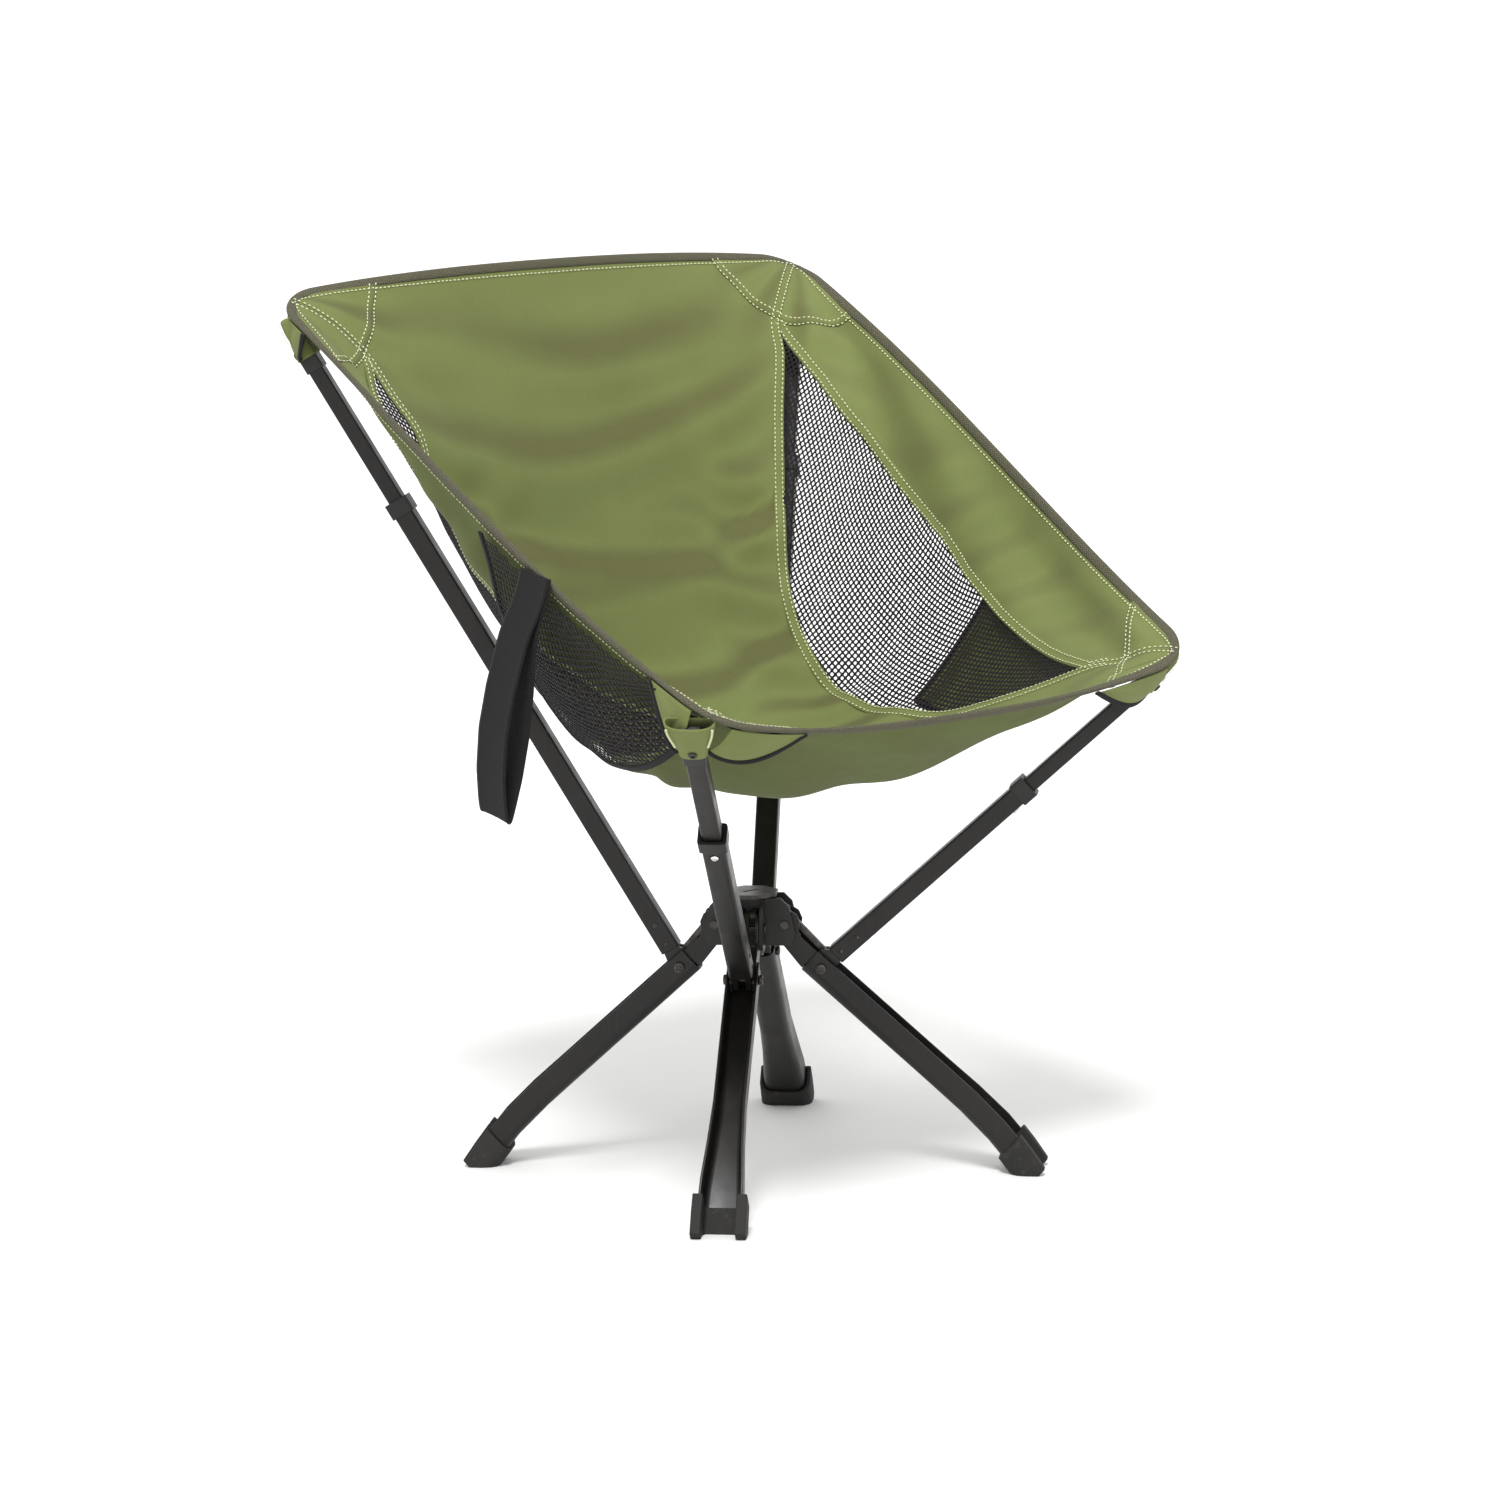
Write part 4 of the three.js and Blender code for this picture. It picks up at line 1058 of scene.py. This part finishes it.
# ---- handle strap ----
def build_strap():
    """A loop of webbing sewn to the left rim: two layers that bulge apart and meet in a flat crease."""
    drop = STRAP["drop"]
    heights = [0, 0.03, 0.06, 0.095, 0.13, 0.165, 0.19, 0.2025]
    outer = [-0.001, -0.0022, -0.0075, -0.0125, -0.0145, -0.0115, -0.006, -0.0022]
    inner = [0.001, 0.0015, 0.0030, 0.0060, 0.0075, 0.0060, 0.0030, 0.0012]
    line = np.array([*zip(heights, outer), (drop, -0.0006), (drop, 0.0002), *zip(heights[::-1], inner[::-1])])
    steps = np.concatenate([[0], np.cumsum(np.linalg.norm(np.diff(line, axis=0), axis=1))])
    s = np.linspace(0, steps[-1], 190)
    h, x = np.interp(s, steps, line[:, 0]), np.interp(s, steps, line[:, 1])
    for _ in range(3):
        h[1:-1] = (h[:-2] + 2 * h[1:-1] + h[2:]) / 4
        x[1:-1] = (x[:-2] + 2 * x[1:-1] + x[2:]) / 4
    back, out = math.radians(STRAP["back"]), math.radians(STRAP["out"])
    down = np.array([-math.sin(out), math.sin(back), -math.cos(back) * math.cos(out)])
    down /= np.linalg.norm(down)
    wide = unit(np.cross(down, np.array([-1.0, 0, 0])))
    flat = unit(np.cross(wide, down))
    if flat[0] > 0:
        flat = -flat
    top = np.array([STRAP["x"], STRAP["y"], STRAP["top"] + 0.004])
    middle = top + down * h[:, None] + flat * (-x)[:, None]
    lean_to_rim = 0.0075
    middle[:, 0] += lean_to_rim * (1 - ease(0.004, 0.055, h))
    along = unit(np.gradient(middle, axis=0))
    thick_way = unit(np.cross(along, wide))
    w = STRAP["width"] / 2
    f = np.linspace(-1, 1, 15)
    half = 0.00075 * (1 + 0.35 * (np.abs(f) > 0.9))
    cup = 0.0007 * (1 - f * f)
    flat_line = middle[:, None] + wide * (w * f)[None, :, None]
    upper, lower = (flat_line + thick_way[:, None] * (k * half + cup)[None, :, None] for k in (1, -1))
    points, faces = layered(upper, lower)
    uv = metre_uv(f * w, s)
    obj = make("strap_webbing", points, faces, WEBBING, uv, outwards=True)
    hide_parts("handle_strap")
    weights = tip_weights(top[None])[0]
    skin(obj, "strap", weights)
    declare(obj)


# ---- CAD nodes ----
def dress_cad():
    """Better materials, softened edges and clean shading for the CAD nodes that stay in view."""
    for name, obj in frame["nodes"].items():
        if obj.hide_render:
            continue
        look = CAD_LOOKS[obj.data.materials[0].name.split(".")[0]]
        for slot in obj.material_slots:
            slot.link = "OBJECT"
            slot.material = look
        if "custom_normal" in obj.data.attributes:
            obj.data.attributes.remove(obj.data.attributes["custom_normal"])
        obj.data.polygons.foreach_set("use_smooth", [True] * len(obj.data.polygons))
        weld = obj.modifiers.new("weld", "WELD")
        weld.merge_threshold = 0.00002
        width = 0.0006 if "arm_" in name or "leg_channel" in name else 0.0004
        if "boot" in name:
            width = 0.0012
        bevel = obj.modifiers.new("soft edges", "BEVEL")
        bevel.width, bevel.segments, bevel.limit_method = width, 2, "ANGLE"
        bevel.angle_limit = math.radians(34)
        bevel.harden_normals = False
        bevel.use_clamp_overlap = True
        weighted = obj.modifiers.new("normals", "WEIGHTED_NORMAL")
        weighted.keep_sharp = True
        weighted.weight = 60


# ---- floor, light, camera ----
def build_stage():
    """A plain pale floor, a white sky, a soft sun from the upper left and two soft lamps."""
    n = Nodes("studio_floor", 0.75)
    tone = n.blend(n.spread(n.noise(3.0), 0.3, 0.7, 0, 1), (0.80, 0.80, 0.795), (0.77, 0.77, 0.765))
    n.finish(tone, None, n.noise(300), 0.04, 0.0002)
    size = 60.0
    points = [(-size, -size, 0), (size, -size, 0), (size, size, 0), (-size, size, 0)]
    floor = make("floor", points, [[(0, 1, 2, 3)]], n.material)
    world = bpy.data.worlds.new("studio")
    bpy.context.scene.world = world
    world.use_nodes = True
    back = world.node_tree.nodes["Background"]
    back.inputs["Color"].default_value = (1, 1, 1, 1)
    back.inputs["Strength"].default_value = 1.0
    aim = Vector((0, 0, 0.4))
    for name, kind, at, energy, size in (
        ("key", "SUN", (-1.1, -1.15, 3.0), 2.7, math.radians(16)),
        ("front", "AREA", (-2.0, -3.2, 1.7), 26, 1.8), ("rim", "AREA", (0.8, 3.2, 2.2), 14, 2.2),
    ):
        light = bpy.data.lights.new(name, kind)
        light.energy = energy
        if kind == "SUN":
            light.angle = size
        else:
            light.size = size
        obj = bpy.data.objects.new(name, light)
        obj.location = at
        obj.rotation_mode = "QUATERNION"
        obj.rotation_quaternion = (aim - Vector(at)).to_track_quat("-Z", "Y")
        bpy.context.scene.collection.objects.link(obj)
    bpy.context.scene.view_settings.view_transform = "Standard"


def build_camera():
    """A long lens from the front left, a little above the seat."""
    azimuth, elevation, roll = (math.radians(a) for a in (-37.715, 9.683, -0.899))
    distance = 4.502
    target = Vector((-0.004, -0.007, 0.365))
    back = Vector((math.sin(azimuth) * math.cos(elevation), -math.cos(azimuth) * math.cos(elevation),
                   math.sin(elevation)))
    data = bpy.data.cameras.new("camera")
    data.sensor_width, data.lens = 36.0, 127.27
    data.clip_start, data.clip_end = 0.1, 60
    camera = bpy.data.objects.new("camera", data)
    look = (-back).to_track_quat("-Z", "Y").to_matrix().to_4x4()
    camera.matrix_world = Matrix.Translation(target + back * distance) @ look @ Matrix.Rotation(roll, 4, "Z")
    bpy.context.scene.collection.objects.link(camera)
    bpy.context.scene.camera = camera


build_camera()
build_stage()
build_cloth()
build_side_pockets()
for corner_name, corner in CORNERS.items():
    build_pocket(corner_name, corner)
build_strap()
skin(build_stitches("seat_stitching", STITCHES))
build_hardware()
dress_cad()

bpy.context.view_layer.update()
